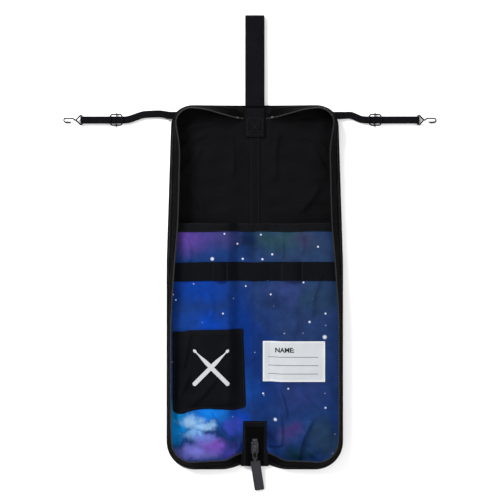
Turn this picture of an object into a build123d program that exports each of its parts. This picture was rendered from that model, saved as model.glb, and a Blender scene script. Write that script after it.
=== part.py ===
"""A fold-out stick bag, lying open on its outside: two padded halves joined by a book spine.

Frame: millimetres, +X to the right half, +Y towards the carry loop, +Z up out of the open bag.
The origin is on the surface the bag lies on, under the middle of the spine.
"""

from build123d import *
import math
import os

# Driving dimensions
BODY_LENGTH = 480.0  # over the bound edges, bottom to top
BODY_HALF_WIDTH = 117.0  # centre line to the bound side edge
TOP_HALF_WIDTH = 110.0  # the sides draw in a little towards the top
WAIST_Y = 40.0  # where the sides begin to draw in
BOTTOM_CORNER_RADIUS = 36.0
TOP_CORNER_RADIUS = 30.0
SPINE_WIDTH = 40.0
FOLD_ANGLE = 87.5  # how far each side of the spine folds when the bag closes
WEBBING_WIDTH = 25.0
WEBBING_THICKNESS = 1.2
STICK_ROOM = 14.8  # clear height inside a stick pocket

# Fabric layers, from the underside up
SHELL_THICKNESS = 1.0
FOAM_THICKNESS = 3.0
LINING_THICKNESS = 0.6
FLOOR_Z = SHELL_THICKNESS + FOAM_THICKNESS + LINING_THICKNESS

# Bound edge, standing side wall and zipper, drawn in from the outline
BINDING_WIDTH = 1.6
BINDING_HEIGHT = 3.2
GUSSET_THICKNESS = 1.0
GUSSET_TOP = 14.0
TAPE_THICKNESS = 0.8
TAPE_LAP = 4.0
COIL_WIDTH = 2.4
COIL_HEIGHT = 2.6
CLOSING_GAP = 0.2  # between each coil and the plane in which the halves meet
WALL_ROOM = 40.0  # more than any wall's height, cut down to the closing plane
STOP_LENGTH = 3.6

# Where things begin beside the fold, so that the spine's own pieces fit between them
FOLD_X = SPINE_WIDTH / 2
FOLD_GAP = 0.3
POCKET_START_X = FOLD_X + 3.0
WALL_START_TOP_X = FOLD_X + 5.0
WALL_START_BOTTOM_X = FOLD_X + 13.0
COIL_START_X = WALL_START_TOP_X + 4.0
SPINE_BOTTOM_Y = -236.0
SPINE_TOP_Y = 238.0

# Stick pockets
PANEL_THICKNESS = 0.8
POCKET_TOP_Z = FLOOR_Z + STICK_ROOM + PANEL_THICKNESS
POCKET_MOUTH_Y = 77.0
POCKET_INSET = 4.2
POCKET_NOTCH_Y = -180.0
POCKET_EDGE_RADIUS = 1.5
HEM_WIDTH = 11.0
HEM_THICKNESS = 0.6
HEM_END_MARGIN = 3.0

# Organiser band across both pockets
BAND_Y = 20.0
BAND_THICKNESS = 1.0
BAND_START_X = POCKET_START_X + 2.2
BAND_END_X = 109.0
BAND_LOOP_START_X = 40.0
BAND_LOOP_END_X = 64.0
BAND_LOOP_RISE = 3.6
BAND_LOOP_GAP = 4.2

# Key pocket on the left half and name label on the right one
KEY_POCKET_WIDTH = 83.0
KEY_POCKET_HEIGHT = 106.0
KEY_POCKET_DEPTH = 6.4
KEY_POCKET_CORNER = (-109.0, -164.0)
KEY_POCKET_CORNER_RADIUS = 6.0
KEY_POCKET_HEM_WIDTH = 6.0
LABEL_SIZE = (66.0, 52.4)
LABEL_CORNER = (26.0, -126.0)
LABEL_THICKNESS = 0.5

# Flat strips on the spine
SEAM_STRIP_WIDTH = 34.0
SPINE_TRIM_WIDTH = 11.0

# Carry loop
LOOP_ANCHOR_START_Y = 197.0
LOOP_ANCHOR_END_Y = 241.0
LOOP_START_Y = 243.6
LOOP_END_Y = 359.4
LOOP_LOW_Z = 0.2
LOOP_GAP = 5.6

# Zipper tail, slider and pull
TAIL_PATCH_WIDTH = 31.0
TAIL_PATCH_TOP_Y = -179.0
TAIL_PATCH_THICKNESS = 1.0
TAIL_TAPE_WIDTH = 24.0
TAIL_TAPE_LENGTH = 50.0
TAIL_TAPE_THICKNESS = 0.6
TAIL_COIL_WIDTH = 4.0
TAIL_COIL_HEIGHT = 0.8
TAIL_COIL_START_Y = -231.0
SLIDER_Y = -213.5
SLIDER_LENGTH = 15.6
SLIDER_WIDTH = 10.6
SLIDER_TOP_Z = 9.6
RUNNING_GAP = 0.2
BRIDGE_LENGTH = 11.2
BRIDGE_HEIGHT = 4.2
BRIDGE_WIDTH = 3.0
BRIDGE_WALL = 1.3
PULL_WIRE = 1.4
LINK_WIDTH = 5.2  # between the middles of the link's two sides
PULL_PIVOT = (-216.0, 11.3)  # Y and Z of the bar under the bridge
GRIP_PIVOT = (-228.0, 10.0)  # Y and Z of the bar in the grip's eye
GRIP_WIDTH = 12.8
GRIP_LENGTH = 40.6
GRIP_THICKNESS = 2.4
GRIP_SLOPE = 9.4
GRIP_TURN = 8.6
GRIP_EYE_WIDTH = 2.6
GRIP_EYE_THICKNESS = 3.2
GRIP_EYE_REACH = 2.0
GRIP_EYE_RADIUS = 1.1
GRIP_START = 2.8
GRIP_RIM = 1.3
GRIP_RECESS = 0.4

# Side straps
STRAP_WIDTH = 9.4
STRAP_LAYER = 0.9
STRAP_PITCH = 1.0  # middle of one layer to the middle of the next
STRAP_Z = 3.45  # middle of the single layer, and of the hook's bar
STRAP_PIVOT = (112.0, 226.0)
STRAP_RUN_Y = 220.0
TAB_Z = 4.05
TAB_THICKNESS = 1.0
BAR_CLEARANCE = 0.3
HOOK_WIRE = 1.9
HOOK_TILT = 37.0
ADJUSTER_WIRE = 1.8
ADJUSTER_BAR_WIRE = 1.3
ADJUSTER_LENGTH = 17.5
ADJUSTER_WIDTH = 16.2
ADJUSTER_BAR_SPREAD = 17.1
ADJUSTER_BAR_Z = 1.15
ADJUSTER_FRAME_Z = 6.05

fold = math.radians(FOLD_ANGLE)
CLOSING_SLOPE = math.cos(fold) / math.sin(fold)
CLOSING_Z_AT_CENTRE = (
    FLOOR_Z + FOLD_X * math.sin(fold) - FOLD_X * (1 - math.cos(fold)) * CLOSING_SLOPE
)
TAIL_TAPE_Z = FLOOR_Z + TAIL_PATCH_THICKNESS
TAIL_COIL_Z = TAIL_TAPE_Z + TAIL_TAPE_THICKNESS

pieces = {}


# ---------------------------------------------------------------- keeping finished pieces


def keep(name, builder):
    """Labels a finished piece and puts it on the list of pieces to write."""
    builder.part.label = name
    pieces[name] = builder.part


def keep_side(side, name, right):
    """Keeps a piece drawn on the right, or its mirror image for the left side."""
    if side == "right":
        keep("right_" + name, right)
        return
    with BuildPart() as left:
        mirror(right.part, about=Plane.YZ)
    keep("left_" + name, left)


def keep_pair(name, right):
    """Keeps the right half's piece and its mirror image on the left half."""
    keep_side("right", name, right)
    keep_side("left", name, right)


# ---------------------------------------------------------------- shapes several pieces share


def outline(inset):
    """The open bag's flat outline, drawn in by inset."""
    with BuildSketch(mode=Mode.PRIVATE) as flat:
        with BuildLine():
            Polyline(
                (-BODY_HALF_WIDTH, -BODY_LENGTH / 2),
                (BODY_HALF_WIDTH, -BODY_LENGTH / 2),
                (BODY_HALF_WIDTH, WAIST_Y),
                (TOP_HALF_WIDTH, BODY_LENGTH / 2),
                (-TOP_HALF_WIDTH, BODY_LENGTH / 2),
                (-BODY_HALF_WIDTH, WAIST_Y),
                close=True,
            )
        make_face()
        fillet(flat.vertices().group_by(Axis.Y)[0], BOTTOM_CORNER_RADIUS)
        fillet(flat.vertices().group_by(Axis.Y)[-1], TOP_CORNER_RADIUS)
        if inset:
            offset(amount=-inset)
    return flat.sketch


def right_of(bottom_x, top_x):
    """Everything to the right of bottom_x below the middle, and of top_x above it."""
    with BuildSketch(mode=Mode.PRIVATE) as region:
        with BuildLine():
            Polyline(
                (bottom_x, -BODY_LENGTH),
                (BODY_LENGTH, -BODY_LENGTH),
                (BODY_LENGTH, BODY_LENGTH),
                (top_x, BODY_LENGTH),
                (top_x, 0),
                (bottom_x, 0),
                close=True,
            )
        make_face()
    return region.sketch


# A hair's step in the cut at the middle of its length keeps its corners apart
HALF_START_X = FOLD_X + FOLD_GAP
TINY_STEP = 0.001


def half_outline(inset):
    """The right half's outline, from just beside the fold."""
    with BuildSketch(mode=Mode.PRIVATE) as half:
        add(outline(inset))
        add(right_of(HALF_START_X, HALF_START_X - TINY_STEP), mode=Mode.INTERSECT)
    return half.sketch


def wall_band(inset, thickness):
    """What a wall standing round the right half covers in plan: open beside the spine."""
    with BuildSketch(mode=Mode.PRIVATE) as band:
        add(outline(inset))
        add(outline(inset + thickness), mode=Mode.SUBTRACT)
        add(right_of(WALL_START_BOTTOM_X, WALL_START_TOP_X), mode=Mode.INTERSECT)
    return band.sketch


def closing_plane(drop):
    """The plane in which the right half meets the left one, lowered by drop."""
    return Plane(
        origin=(0, 0, CLOSING_Z_AT_CENTRE - drop),
        x_dir=(math.sin(fold), 0, math.cos(fold)),
        z_dir=(-math.cos(fold), 0, math.sin(fold)),
    )


def pocket_plan(inset, mouth_y):
    """A stick pocket in plan: clear of the fold, and notched beside the zipper slider."""
    with BuildSketch(mode=Mode.PRIVATE) as plan:
        add(outline(POCKET_INSET + inset))
        with Locations((POCKET_START_X + inset, mouth_y)):
            Rectangle(
                BODY_LENGTH, 2 * BODY_LENGTH, align=(Align.MIN, Align.MAX), mode=Mode.INTERSECT
            )
        with Locations((WALL_START_BOTTOM_X + inset, POCKET_NOTCH_Y + inset)):
            Rectangle(
                BODY_LENGTH, BODY_LENGTH, align=(Align.MAX, Align.MAX), mode=Mode.SUBTRACT
            )
    return plan.sketch


# ---------------------------------------------------------------- the padded halves


def fabric_layer(inset, low, thickness):
    """One flat layer of the right half."""
    with BuildPart() as layer:
        with BuildSketch(Plane.XY.offset(low)):
            add(half_outline(inset))
        extrude(amount=thickness)
    return layer


def edge_binding():
    """Bound seam round the foot of the gusset."""
    with BuildPart() as bead:
        with BuildSketch():
            add(half_outline(0))
            add(outline(BINDING_WIDTH), mode=Mode.SUBTRACT)
        extrude(amount=BINDING_HEIGHT)
    return bead


def gusset():
    """Side wall of the outer fabric, standing on the shell's edge."""
    with BuildPart() as wall:
        with BuildSketch(Plane.XY.offset(SHELL_THICKNESS)):
            add(wall_band(BINDING_WIDTH, GUSSET_THICKNESS))
        extrude(amount=GUSSET_TOP - SHELL_THICKNESS)
    return wall


def zipper_tape():
    """Woven tape sewn inside the gusset, rising nearly to where the halves meet."""
    with BuildPart() as tape:
        with BuildSketch(Plane.XY.offset(GUSSET_TOP - TAPE_LAP)):
            add(wall_band(BINDING_WIDTH + GUSSET_THICKNESS, TAPE_THICKNESS))
        extrude(amount=WALL_ROOM)
        split(bisect_by=closing_plane(CLOSING_GAP + COIL_HEIGHT), keep=Keep.BOTTOM)
    return tape


def zipper_coil():
    """The run of coil along the tape's edge, as one bead."""
    coil_inset = BINDING_WIDTH + GUSSET_THICKNESS + (TAPE_THICKNESS - COIL_WIDTH) / 2
    with BuildPart() as coil:
        with BuildSketch(Plane.XY.offset(FLOOR_Z)):
            add(wall_band(coil_inset, COIL_WIDTH))
            add(right_of(0, COIL_START_X), mode=Mode.INTERSECT)
        extrude(amount=WALL_ROOM)
        split(bisect_by=closing_plane(CLOSING_GAP), keep=Keep.BOTTOM)
        split(bisect_by=closing_plane(CLOSING_GAP + COIL_HEIGHT), keep=Keep.TOP)
    return coil


def top_stop():
    """Metal clip crimped over the free end of the coil, beside the carry loop."""
    stop_y = BODY_LENGTH / 2 - BINDING_WIDTH - GUSSET_THICKNESS - TAPE_THICKNESS / 2
    stop_top = CLOSING_Z_AT_CENTRE + WALL_START_TOP_X * CLOSING_SLOPE - 2 * CLOSING_GAP
    stop_height = COIL_HEIGHT - 2 * CLOSING_GAP
    with BuildPart() as clip:
        with Locations((COIL_START_X - CLOSING_GAP, stop_y, stop_top)):
            Box(
                STOP_LENGTH,
                COIL_WIDTH + 0.8,
                stop_height,
                align=(Align.MAX, Align.CENTER, Align.MAX),
            )
        fillet(clip.edges().filter_by(Axis.X), 0.5)
    return clip


keep_pair("shell", fabric_layer(BINDING_WIDTH, 0, SHELL_THICKNESS))
LINED_INSET = BINDING_WIDTH + GUSSET_THICKNESS
keep_pair("foam", fabric_layer(LINED_INSET, SHELL_THICKNESS, FOAM_THICKNESS))
keep_pair("lining", fabric_layer(LINED_INSET, FLOOR_Z - LINING_THICKNESS, LINING_THICKNESS))
keep_pair("edge_binding", edge_binding())
keep_pair("gusset", gusset())
keep_pair("zipper_tape", zipper_tape())
keep_pair("zipper_coil", zipper_coil())
keep_pair("top_stop", top_stop())


# ---------------------------------------------------------------- stick pockets


def stick_pocket():
    """Printed pocket panel, held up by its side walls and open towards the carry loop."""
    with BuildPart() as pocket:
        with BuildSketch(Plane.XY.offset(FLOOR_Z)):
            add(pocket_plan(0, POCKET_MOUTH_Y))
        extrude(amount=STICK_ROOM + PANEL_THICKNESS)
        panel_edges = pocket.faces().sort_by(Axis.Z)[-1].edges().sort_by(Axis.Y)
        fillet(panel_edges[:-1], POCKET_EDGE_RADIUS)
        with BuildSketch(Plane.XY.offset(FLOOR_Z)):
            add(pocket_plan(PANEL_THICKNESS, POCKET_MOUTH_Y + HEM_WIDTH))
        extrude(amount=STICK_ROOM, mode=Mode.SUBTRACT)
    return pocket


def pocket_hem():
    """Binding folded over the pocket's mouth, above and below the panel."""
    hem_start = POCKET_START_X + HEM_END_MARGIN
    hem_length = BAND_END_X - HEM_END_MARGIN - hem_start
    with BuildPart() as hem:
        with Locations(
            (hem_start, POCKET_MOUTH_Y + HEM_THICKNESS, POCKET_TOP_Z + HEM_THICKNESS)
        ):
            Box(
                hem_length,
                HEM_WIDTH + HEM_THICKNESS,
                PANEL_THICKNESS + 2 * HEM_THICKNESS,
                align=(Align.MIN, Align.MAX, Align.MAX),
            )
        with Locations((hem_start, POCKET_MOUTH_Y, POCKET_TOP_Z)):
            Box(
                hem_length,
                2 * HEM_WIDTH,
                PANEL_THICKNESS,
                align=(Align.MIN, Align.MAX, Align.MAX),
                mode=Mode.SUBTRACT,
            )
    return hem


def organiser_band():
    """Webbing sewn flat across the pocket, with one raised loop."""
    flat_z = POCKET_TOP_Z + BAND_THICKNESS / 2
    raised_z = flat_z + BAND_LOOP_GAP
    with BuildPart() as band:
        with BuildSketch(Plane.XZ.offset(-BAND_Y)):
            with BuildLine() as route:
                FilletPolyline(
                    (BAND_START_X, flat_z),
                    (BAND_LOOP_START_X, flat_z),
                    (BAND_LOOP_START_X + BAND_LOOP_RISE, raised_z),
                    (BAND_LOOP_END_X - BAND_LOOP_RISE, raised_z),
                    (BAND_LOOP_END_X, flat_z),
                    (BAND_END_X, flat_z),
                    radius=2 * BAND_THICKNESS,
                )
            trace(line_width=BAND_THICKNESS)
        extrude(amount=WEBBING_WIDTH / 2, both=True)
    return band


keep_pair("stick_pocket", stick_pocket())
keep_pair("pocket_hem", pocket_hem())
keep_pair("organiser_band", organiser_band())


def key_pocket_plan(inset, mouth_y):
    """The key pocket in plan: a rectangle with two rounded lower corners."""
    with BuildSketch(mode=Mode.PRIVATE) as plan:
        with BuildLine():
            left_x = KEY_POCKET_CORNER[0] + inset
            right_x = KEY_POCKET_CORNER[0] + KEY_POCKET_WIDTH - inset
            low_y = KEY_POCKET_CORNER[1] + inset
            Polyline((left_x, low_y), (right_x, low_y), (right_x, mouth_y), (left_x, mouth_y), close=True)
        make_face()
        fillet(plan.vertices().group_by(Axis.Y)[0], KEY_POCKET_CORNER_RADIUS - inset)
    return plan.sketch


KEY_POCKET_TOP_Y = KEY_POCKET_CORNER[1] + KEY_POCKET_HEIGHT

with BuildPart() as key_pocket:
    with BuildSketch(Plane.XY.offset(POCKET_TOP_Z)):
        add(key_pocket_plan(0, KEY_POCKET_TOP_Y))
    extrude(amount=KEY_POCKET_DEPTH)
    front_edges = key_pocket.faces().sort_by(Axis.Z)[-1].edges().sort_by(Axis.Y)
    fillet(front_edges[:-1], POCKET_EDGE_RADIUS)
    with BuildSketch(Plane.XY.offset(POCKET_TOP_Z)):
        add(key_pocket_plan(PANEL_THICKNESS, KEY_POCKET_TOP_Y + HEM_WIDTH))
    extrude(amount=KEY_POCKET_DEPTH - PANEL_THICKNESS, mode=Mode.SUBTRACT)
keep("left_key_pocket", key_pocket)

with BuildPart() as key_pocket_hem:
    with Locations(
        (
            KEY_POCKET_CORNER[0] + HEM_END_MARGIN,
            KEY_POCKET_TOP_Y,
            POCKET_TOP_Z + KEY_POCKET_DEPTH,
        )
    ):
        Box(
            KEY_POCKET_WIDTH - 2 * HEM_END_MARGIN,
            KEY_POCKET_HEM_WIDTH,
            HEM_THICKNESS,
            align=(Align.MIN, Align.MAX, Align.MIN),
        )
keep("left_key_pocket_hem", key_pocket_hem)

with BuildPart() as name_label:
    with Locations((*LABEL_CORNER, POCKET_TOP_Z)):
        Box(*LABEL_SIZE, LABEL_THICKNESS, align=Align.MIN)
keep("right_name_label", name_label)


# ---------------------------------------------------------------- the spine


def spine_strip(width, low_y, high_y, low_z, thickness):
    """A flat strip along the middle of the spine."""
    with BuildPart() as strip:
        with Locations((0, low_y, low_z)):
            Box(width, high_y - low_y, thickness, align=(Align.CENTER, Align.MIN, Align.MIN))
    return strip


SPINE_LAYER_WIDTH = SPINE_WIDTH - 2 * FOLD_GAP
SPINE_LAYERS = (
    ("spine_shell", 0, SHELL_THICKNESS),
    ("spine_foam", SHELL_THICKNESS, FOAM_THICKNESS),
    ("spine_lining", SHELL_THICKNESS + FOAM_THICKNESS, LINING_THICKNESS),
)
for layer_name, layer_z, layer_thickness in SPINE_LAYERS:
    keep(
        layer_name,
        spine_strip(SPINE_LAYER_WIDTH, SPINE_BOTTOM_Y, SPINE_TOP_Y, layer_z, layer_thickness),
    )

SPINE_TRIMS = (
    ("pocket_seam_strip", SEAM_STRIP_WIDTH, TAIL_PATCH_TOP_Y + FOLD_GAP, POCKET_MOUTH_Y),
    ("spine_binding", SPINE_TRIM_WIDTH, POCKET_MOUTH_Y + FOLD_GAP, LOOP_ANCHOR_START_Y - FOLD_GAP),
)
for trim_name, trim_width, trim_low_y, trim_high_y in SPINE_TRIMS:
    keep(trim_name, spine_strip(trim_width, trim_low_y, trim_high_y, FLOOR_Z, TAPE_THICKNESS))

keep(
    "loop_anchor",
    spine_strip(
        WEBBING_WIDTH, LOOP_ANCHOR_START_Y, LOOP_ANCHOR_END_Y, FLOOR_Z, 2 * WEBBING_THICKNESS
    ),
)

with BuildPart() as carry_loop:
    low_layer_z = LOOP_LOW_Z + WEBBING_THICKNESS / 2
    high_layer_z = low_layer_z + LOOP_GAP + WEBBING_THICKNESS
    low_root_z = FLOOR_Z + WEBBING_THICKNESS / 2
    fold_y = LOOP_END_Y - WEBBING_THICKNESS / 2
    with BuildSketch(Plane.YZ):
        with BuildLine() as loop_route:
            FilletPolyline(
                (LOOP_START_Y, low_root_z),
                (LOOP_START_Y + 10, low_root_z),
                (LOOP_START_Y + 32, low_layer_z),
                (fold_y, low_layer_z),
                (fold_y, high_layer_z),
                (LOOP_START_Y + 28, high_layer_z + 0.3),
                (LOOP_START_Y, low_root_z + WEBBING_THICKNESS),
                radius=[12, 12, 3, 3, 12],
            )
        trace(line_width=WEBBING_THICKNESS)
    extrude(amount=WEBBING_WIDTH / 2, both=True)
keep("carry_loop", carry_loop)


# ---------------------------------------------------------------- zipper tail and slider

keep(
    "tail_patch",
    spine_strip(
        TAIL_PATCH_WIDTH, SPINE_BOTTOM_Y, TAIL_PATCH_TOP_Y, FLOOR_Z, TAIL_PATCH_THICKNESS
    ),
)
keep(
    "tail_tape",
    spine_strip(
        TAIL_TAPE_WIDTH,
        SPINE_BOTTOM_Y,
        SPINE_BOTTOM_Y + TAIL_TAPE_LENGTH,
        TAIL_TAPE_Z,
        TAIL_TAPE_THICKNESS,
    ),
)
SLIDER_REAR_Y = SLIDER_Y + SLIDER_LENGTH / 2
keep(
    "tail_coil",
    spine_strip(
        TAIL_COIL_WIDTH, TAIL_COIL_START_Y, SLIDER_REAR_Y, TAIL_COIL_Z, TAIL_COIL_HEIGHT
    ),
)

with BuildPart() as bottom_stop:
    with Locations((0, SLIDER_REAR_Y + RUNNING_GAP, TAIL_COIL_Z)):
        Box(
            1.8 * TAIL_COIL_WIDTH,
            STOP_LENGTH,
            2 * TAIL_COIL_HEIGHT,
            align=(Align.CENTER, Align.MIN, Align.MIN),
        )
    fillet(bottom_stop.faces().sort_by(Axis.Z)[-1].edges(), TAIL_COIL_HEIGHT / 2)
keep("bottom_stop", bottom_stop)

with BuildPart() as slider_body:
    slider_low_z = TAIL_COIL_Z + RUNNING_GAP
    with BuildSketch(Plane.XY.offset(slider_low_z)):
        with Locations((0, SLIDER_Y)):
            RectangleRounded(SLIDER_WIDTH, SLIDER_LENGTH, SLIDER_WIDTH / 4)
    extrude(amount=SLIDER_TOP_Z - slider_low_z)
    chamfer(slider_body.faces().sort_by(Axis.Z)[-1].edges(), SLIDER_WIDTH / 10)
    with Locations((0, SLIDER_Y, slider_low_z)):
        Box(
            TAIL_COIL_WIDTH + 4 * RUNNING_GAP,
            2 * SLIDER_LENGTH,
            TAIL_COIL_HEIGHT,
            align=(Align.CENTER, Align.CENTER, Align.MIN),
            mode=Mode.SUBTRACT,
        )
keep("slider_body", slider_body)

with BuildPart() as slider_bridge:
    with BuildSketch(Plane.YZ) as bridge_side:
        with Locations((SLIDER_Y, SLIDER_TOP_Z)):
            Rectangle(BRIDGE_LENGTH, BRIDGE_HEIGHT, align=(Align.CENTER, Align.MIN))
        fillet(bridge_side.vertices().group_by(Axis.Y)[-1], 2 * BRIDGE_WALL)
        with Locations((SLIDER_Y, SLIDER_TOP_Z)):
            Rectangle(
                BRIDGE_LENGTH - 2 * BRIDGE_WALL,
                BRIDGE_HEIGHT - BRIDGE_WALL,
                align=(Align.CENTER, Align.MIN),
                mode=Mode.SUBTRACT,
            )
    extrude(amount=BRIDGE_WIDTH / 2, both=True)
keep("slider_bridge", slider_bridge)

# The pull: a wire link, and a grip of rubber that hangs from the link's far bar

LINK_RUN_Y = GRIP_PIVOT[0] - PULL_PIVOT[0]
LINK_RUN_Z = GRIP_PIVOT[1] - PULL_PIVOT[1]
LINK_LENGTH = math.hypot(LINK_RUN_Y, LINK_RUN_Z)
LINK_PLANE = Plane(
    origin=(0, *PULL_PIVOT), x_dir=(1, 0, 0), z_dir=(0, LINK_RUN_Z, -LINK_RUN_Y)
)

with BuildPart() as pull_link:
    with BuildSketch(LINK_PLANE):
        with Locations((0, -LINK_LENGTH / 2)):
            RectangleRounded(LINK_WIDTH + PULL_WIRE, LINK_LENGTH + PULL_WIRE, 1.6)
            RectangleRounded(
                LINK_WIDTH - PULL_WIRE, LINK_LENGTH - PULL_WIRE, 0.4, mode=Mode.SUBTRACT
            )
    extrude(amount=PULL_WIRE / 2, both=True)
    fillet(pull_link.edges().filter_by(GeomType.LINE), PULL_WIRE / 3)
keep("pull_link", pull_link)

grip_slope = math.radians(GRIP_SLOPE)
grip_turn = math.radians(GRIP_TURN)
GRIP_PLANE = Plane(
    origin=(0, *GRIP_PIVOT),
    x_dir=(math.cos(grip_turn), math.sin(grip_turn), 0),
    z_dir=(
        math.sin(grip_slope) * math.sin(grip_turn),
        -math.sin(grip_slope) * math.cos(grip_turn),
        math.cos(grip_slope),
    ),
)

with BuildPart() as pull_grip:
    with BuildSketch(GRIP_PLANE):
        with Locations((0, -GRIP_START - GRIP_LENGTH / 2)):
            RectangleRounded(GRIP_WIDTH, GRIP_LENGTH, GRIP_WIDTH / 6)
    extrude(amount=GRIP_THICKNESS / 2, both=True)
    with BuildSketch(GRIP_PLANE.offset(GRIP_THICKNESS / 2)):
        with Locations((0, -GRIP_START - GRIP_LENGTH / 2)):
            RectangleRounded(
                GRIP_WIDTH - 2 * GRIP_RIM, GRIP_LENGTH - 2 * GRIP_RIM, GRIP_WIDTH / 6 - GRIP_RIM / 2
            )
    extrude(amount=-GRIP_RECESS, mode=Mode.SUBTRACT)
    with BuildSketch(GRIP_PLANE):
        with Locations((0, -GRIP_START - GRIP_RIM)):
            Rectangle(
                GRIP_EYE_WIDTH,
                GRIP_START + GRIP_RIM + GRIP_EYE_REACH,
                align=(Align.CENTER, Align.MIN),
            )
    extrude(amount=GRIP_EYE_THICKNESS / 2, both=True)
    with BuildSketch(Plane.YZ):
        with Locations(GRIP_PIVOT):
            Circle(GRIP_EYE_RADIUS)
    extrude(amount=GRIP_EYE_WIDTH, both=True, mode=Mode.SUBTRACT)
keep("pull_grip", pull_grip)


# ---------------------------------------------------------------- side straps

# Each strap's single layer in plan, and where its adjuster and its hook's bar stand
STRAPS = {
    "right": {
        "route": [STRAP_PIVOT, (128, 226.6), (141, STRAP_RUN_Y), (208, STRAP_RUN_Y)],
        "adjuster_x": 159.3,
        "bar_x": 216.0,
    },
    "left": {
        "route": [
            STRAP_PIVOT,
            (125.7, 228.4),
            (148, 227.6),
            (168, STRAP_RUN_Y),
            (221, STRAP_RUN_Y),
        ],
        "adjuster_x": 183.4,
        "bar_x": 229.0,
    },
}


def strap_anchor():
    """Tab of webbing sewn to the gusset, with the strap's root held under its round end."""
    with BuildPart() as tab:
        with BuildSketch(Plane.XY.offset(TAB_Z)):
            with Locations(STRAP_PIVOT):
                Circle(STRAP_WIDTH / 2)
                Rectangle(3 * STRAP_WIDTH, STRAP_WIDTH, align=(Align.MAX, Align.CENTER))
            add(outline(BINDING_WIDTH), mode=Mode.SUBTRACT)
        extrude(amount=TAB_THICKNESS)
    return tab


def strap_webbing(route):
    """The single layer of narrow webbing, from its round root to the end inside the loop."""
    with BuildPart() as webbing:
        with BuildSketch(Plane.XY.offset(STRAP_Z - STRAP_LAYER / 2)):
            with BuildLine():
                FilletPolyline(*route, radius=2.5 * STRAP_WIDTH)
            trace(line_width=STRAP_WIDTH)
            with Locations(route[0]):
                Circle(STRAP_WIDTH / 2)
        extrude(amount=STRAP_LAYER)
    return webbing


def strap_loop(adjuster_x, bar_x):
    """The doubled length: a layer below, a layer above, and the turn round the hook's bar."""
    turn_radius = HOOK_WIRE / 2 + BAR_CLEARANCE
    with BuildPart() as loop:
        with BuildSketch(Plane.XZ.offset(-STRAP_RUN_Y)):
            for layer_z in (STRAP_Z - STRAP_PITCH, STRAP_Z + STRAP_PITCH):
                with Locations((adjuster_x, layer_z)):
                    Rectangle(
                        bar_x - adjuster_x, STRAP_LAYER, align=(Align.MIN, Align.CENTER)
                    )
            with Locations((bar_x, STRAP_Z)):
                Circle(turn_radius + STRAP_LAYER)
                Circle(turn_radius, mode=Mode.SUBTRACT)
        extrude(amount=STRAP_WIDTH / 2, both=True)
    return loop


def strap_adjuster(adjuster_x):
    """Bent-wire adjuster: a frame over the webbing and a bar under it."""
    with BuildPart() as adjuster:
        with BuildSketch(Plane.XY.offset(ADJUSTER_FRAME_Z - ADJUSTER_WIRE / 2)):
            with Locations((adjuster_x, STRAP_RUN_Y)):
                RectangleRounded(ADJUSTER_LENGTH, ADJUSTER_WIDTH, 2.5 * ADJUSTER_WIRE)
                RectangleRounded(
                    ADJUSTER_LENGTH - 2 * ADJUSTER_WIRE,
                    ADJUSTER_WIDTH - 2 * ADJUSTER_WIRE,
                    1.5 * ADJUSTER_WIRE,
                    mode=Mode.SUBTRACT,
                )
        extrude(amount=ADJUSTER_WIRE)
        fillet(adjuster.edges(), 0.46 * ADJUSTER_WIRE)
        with BuildLine(Plane.YZ.offset(adjuster_x)) as bar_route:
            near_y = STRAP_RUN_Y - ADJUSTER_BAR_SPREAD / 2
            far_y = STRAP_RUN_Y + ADJUSTER_BAR_SPREAD / 2
            FilletPolyline(
                (near_y, ADJUSTER_FRAME_Z),
                (near_y, ADJUSTER_BAR_Z),
                (far_y, ADJUSTER_BAR_Z),
                (far_y, ADJUSTER_FRAME_Z),
                radius=ADJUSTER_BAR_WIRE,
            )
        with BuildSketch(Plane(origin=bar_route.line @ 0, z_dir=bar_route.line % 0)):
            Circle(ADJUSTER_BAR_WIRE / 2)
        sweep()
    return adjuster


def strap_hook(bar_x):
    """One wire bent into a triangular ring and an open hook."""
    hook_plane = Plane(
        origin=(bar_x, STRAP_RUN_Y, STRAP_Z),
        x_dir=(1, 0, 0),
        z_dir=(0, -math.sin(math.radians(HOOK_TILT)), math.cos(math.radians(HOOK_TILT))),
    )
    with BuildPart() as ring:
        with BuildLine(Plane((bar_x, STRAP_RUN_Y, STRAP_Z))) as ring_line:
            FilletPolyline((0, -6), (0, 6), (2.4, 6), (8, 0), (2.4, -6), radius=1.1, close=True)
        ring_path = ring_line.wires()[0]
        with BuildSketch(Plane(origin=ring_path @ 0, z_dir=ring_path % 0)):
            Circle(HOOK_WIRE / 2)
        sweep(path=ring_path)
    with BuildPart() as hooked_end:
        with BuildLine(hook_plane) as hook_line:
            FilletPolyline(
                (7.2, 0),
                (9.4, 0),
                (12.2, 2.6),
                (24.2, 2.6),
                (24.2, -3.8),
                (15.5, -3.8),
                radius=[2.2, 2.2, 3.15, 3.15],
            )
        hook_path = hook_line.wires()[0]
        with BuildSketch(Plane(origin=hook_path @ 0, z_dir=hook_path % 0)):
            Circle(HOOK_WIRE / 2)
        sweep(path=hook_path)
    with BuildPart() as hook:
        add(ring.part)
        add(hooked_end.part)
    return hook


keep_pair("strap_anchor", strap_anchor())
for strap_side, strap in STRAPS.items():
    keep_side(strap_side, "strap_webbing", strap_webbing(strap["route"]))
    keep_side(strap_side, "strap_loop", strap_loop(strap["adjuster_x"], strap["bar_x"]))
    keep_side(strap_side, "strap_adjuster", strap_adjuster(strap["adjuster_x"]))
    keep_side(strap_side, "strap_hook", strap_hook(strap["bar_x"]))

os.makedirs("parts", exist_ok=True)
for piece_name, piece in pieces.items():
    export_step(piece, f"parts/{piece_name}.step")
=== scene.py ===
"""A fold-out stick bag, lying open: how each piece looks and what it is made of."""

import math

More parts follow.
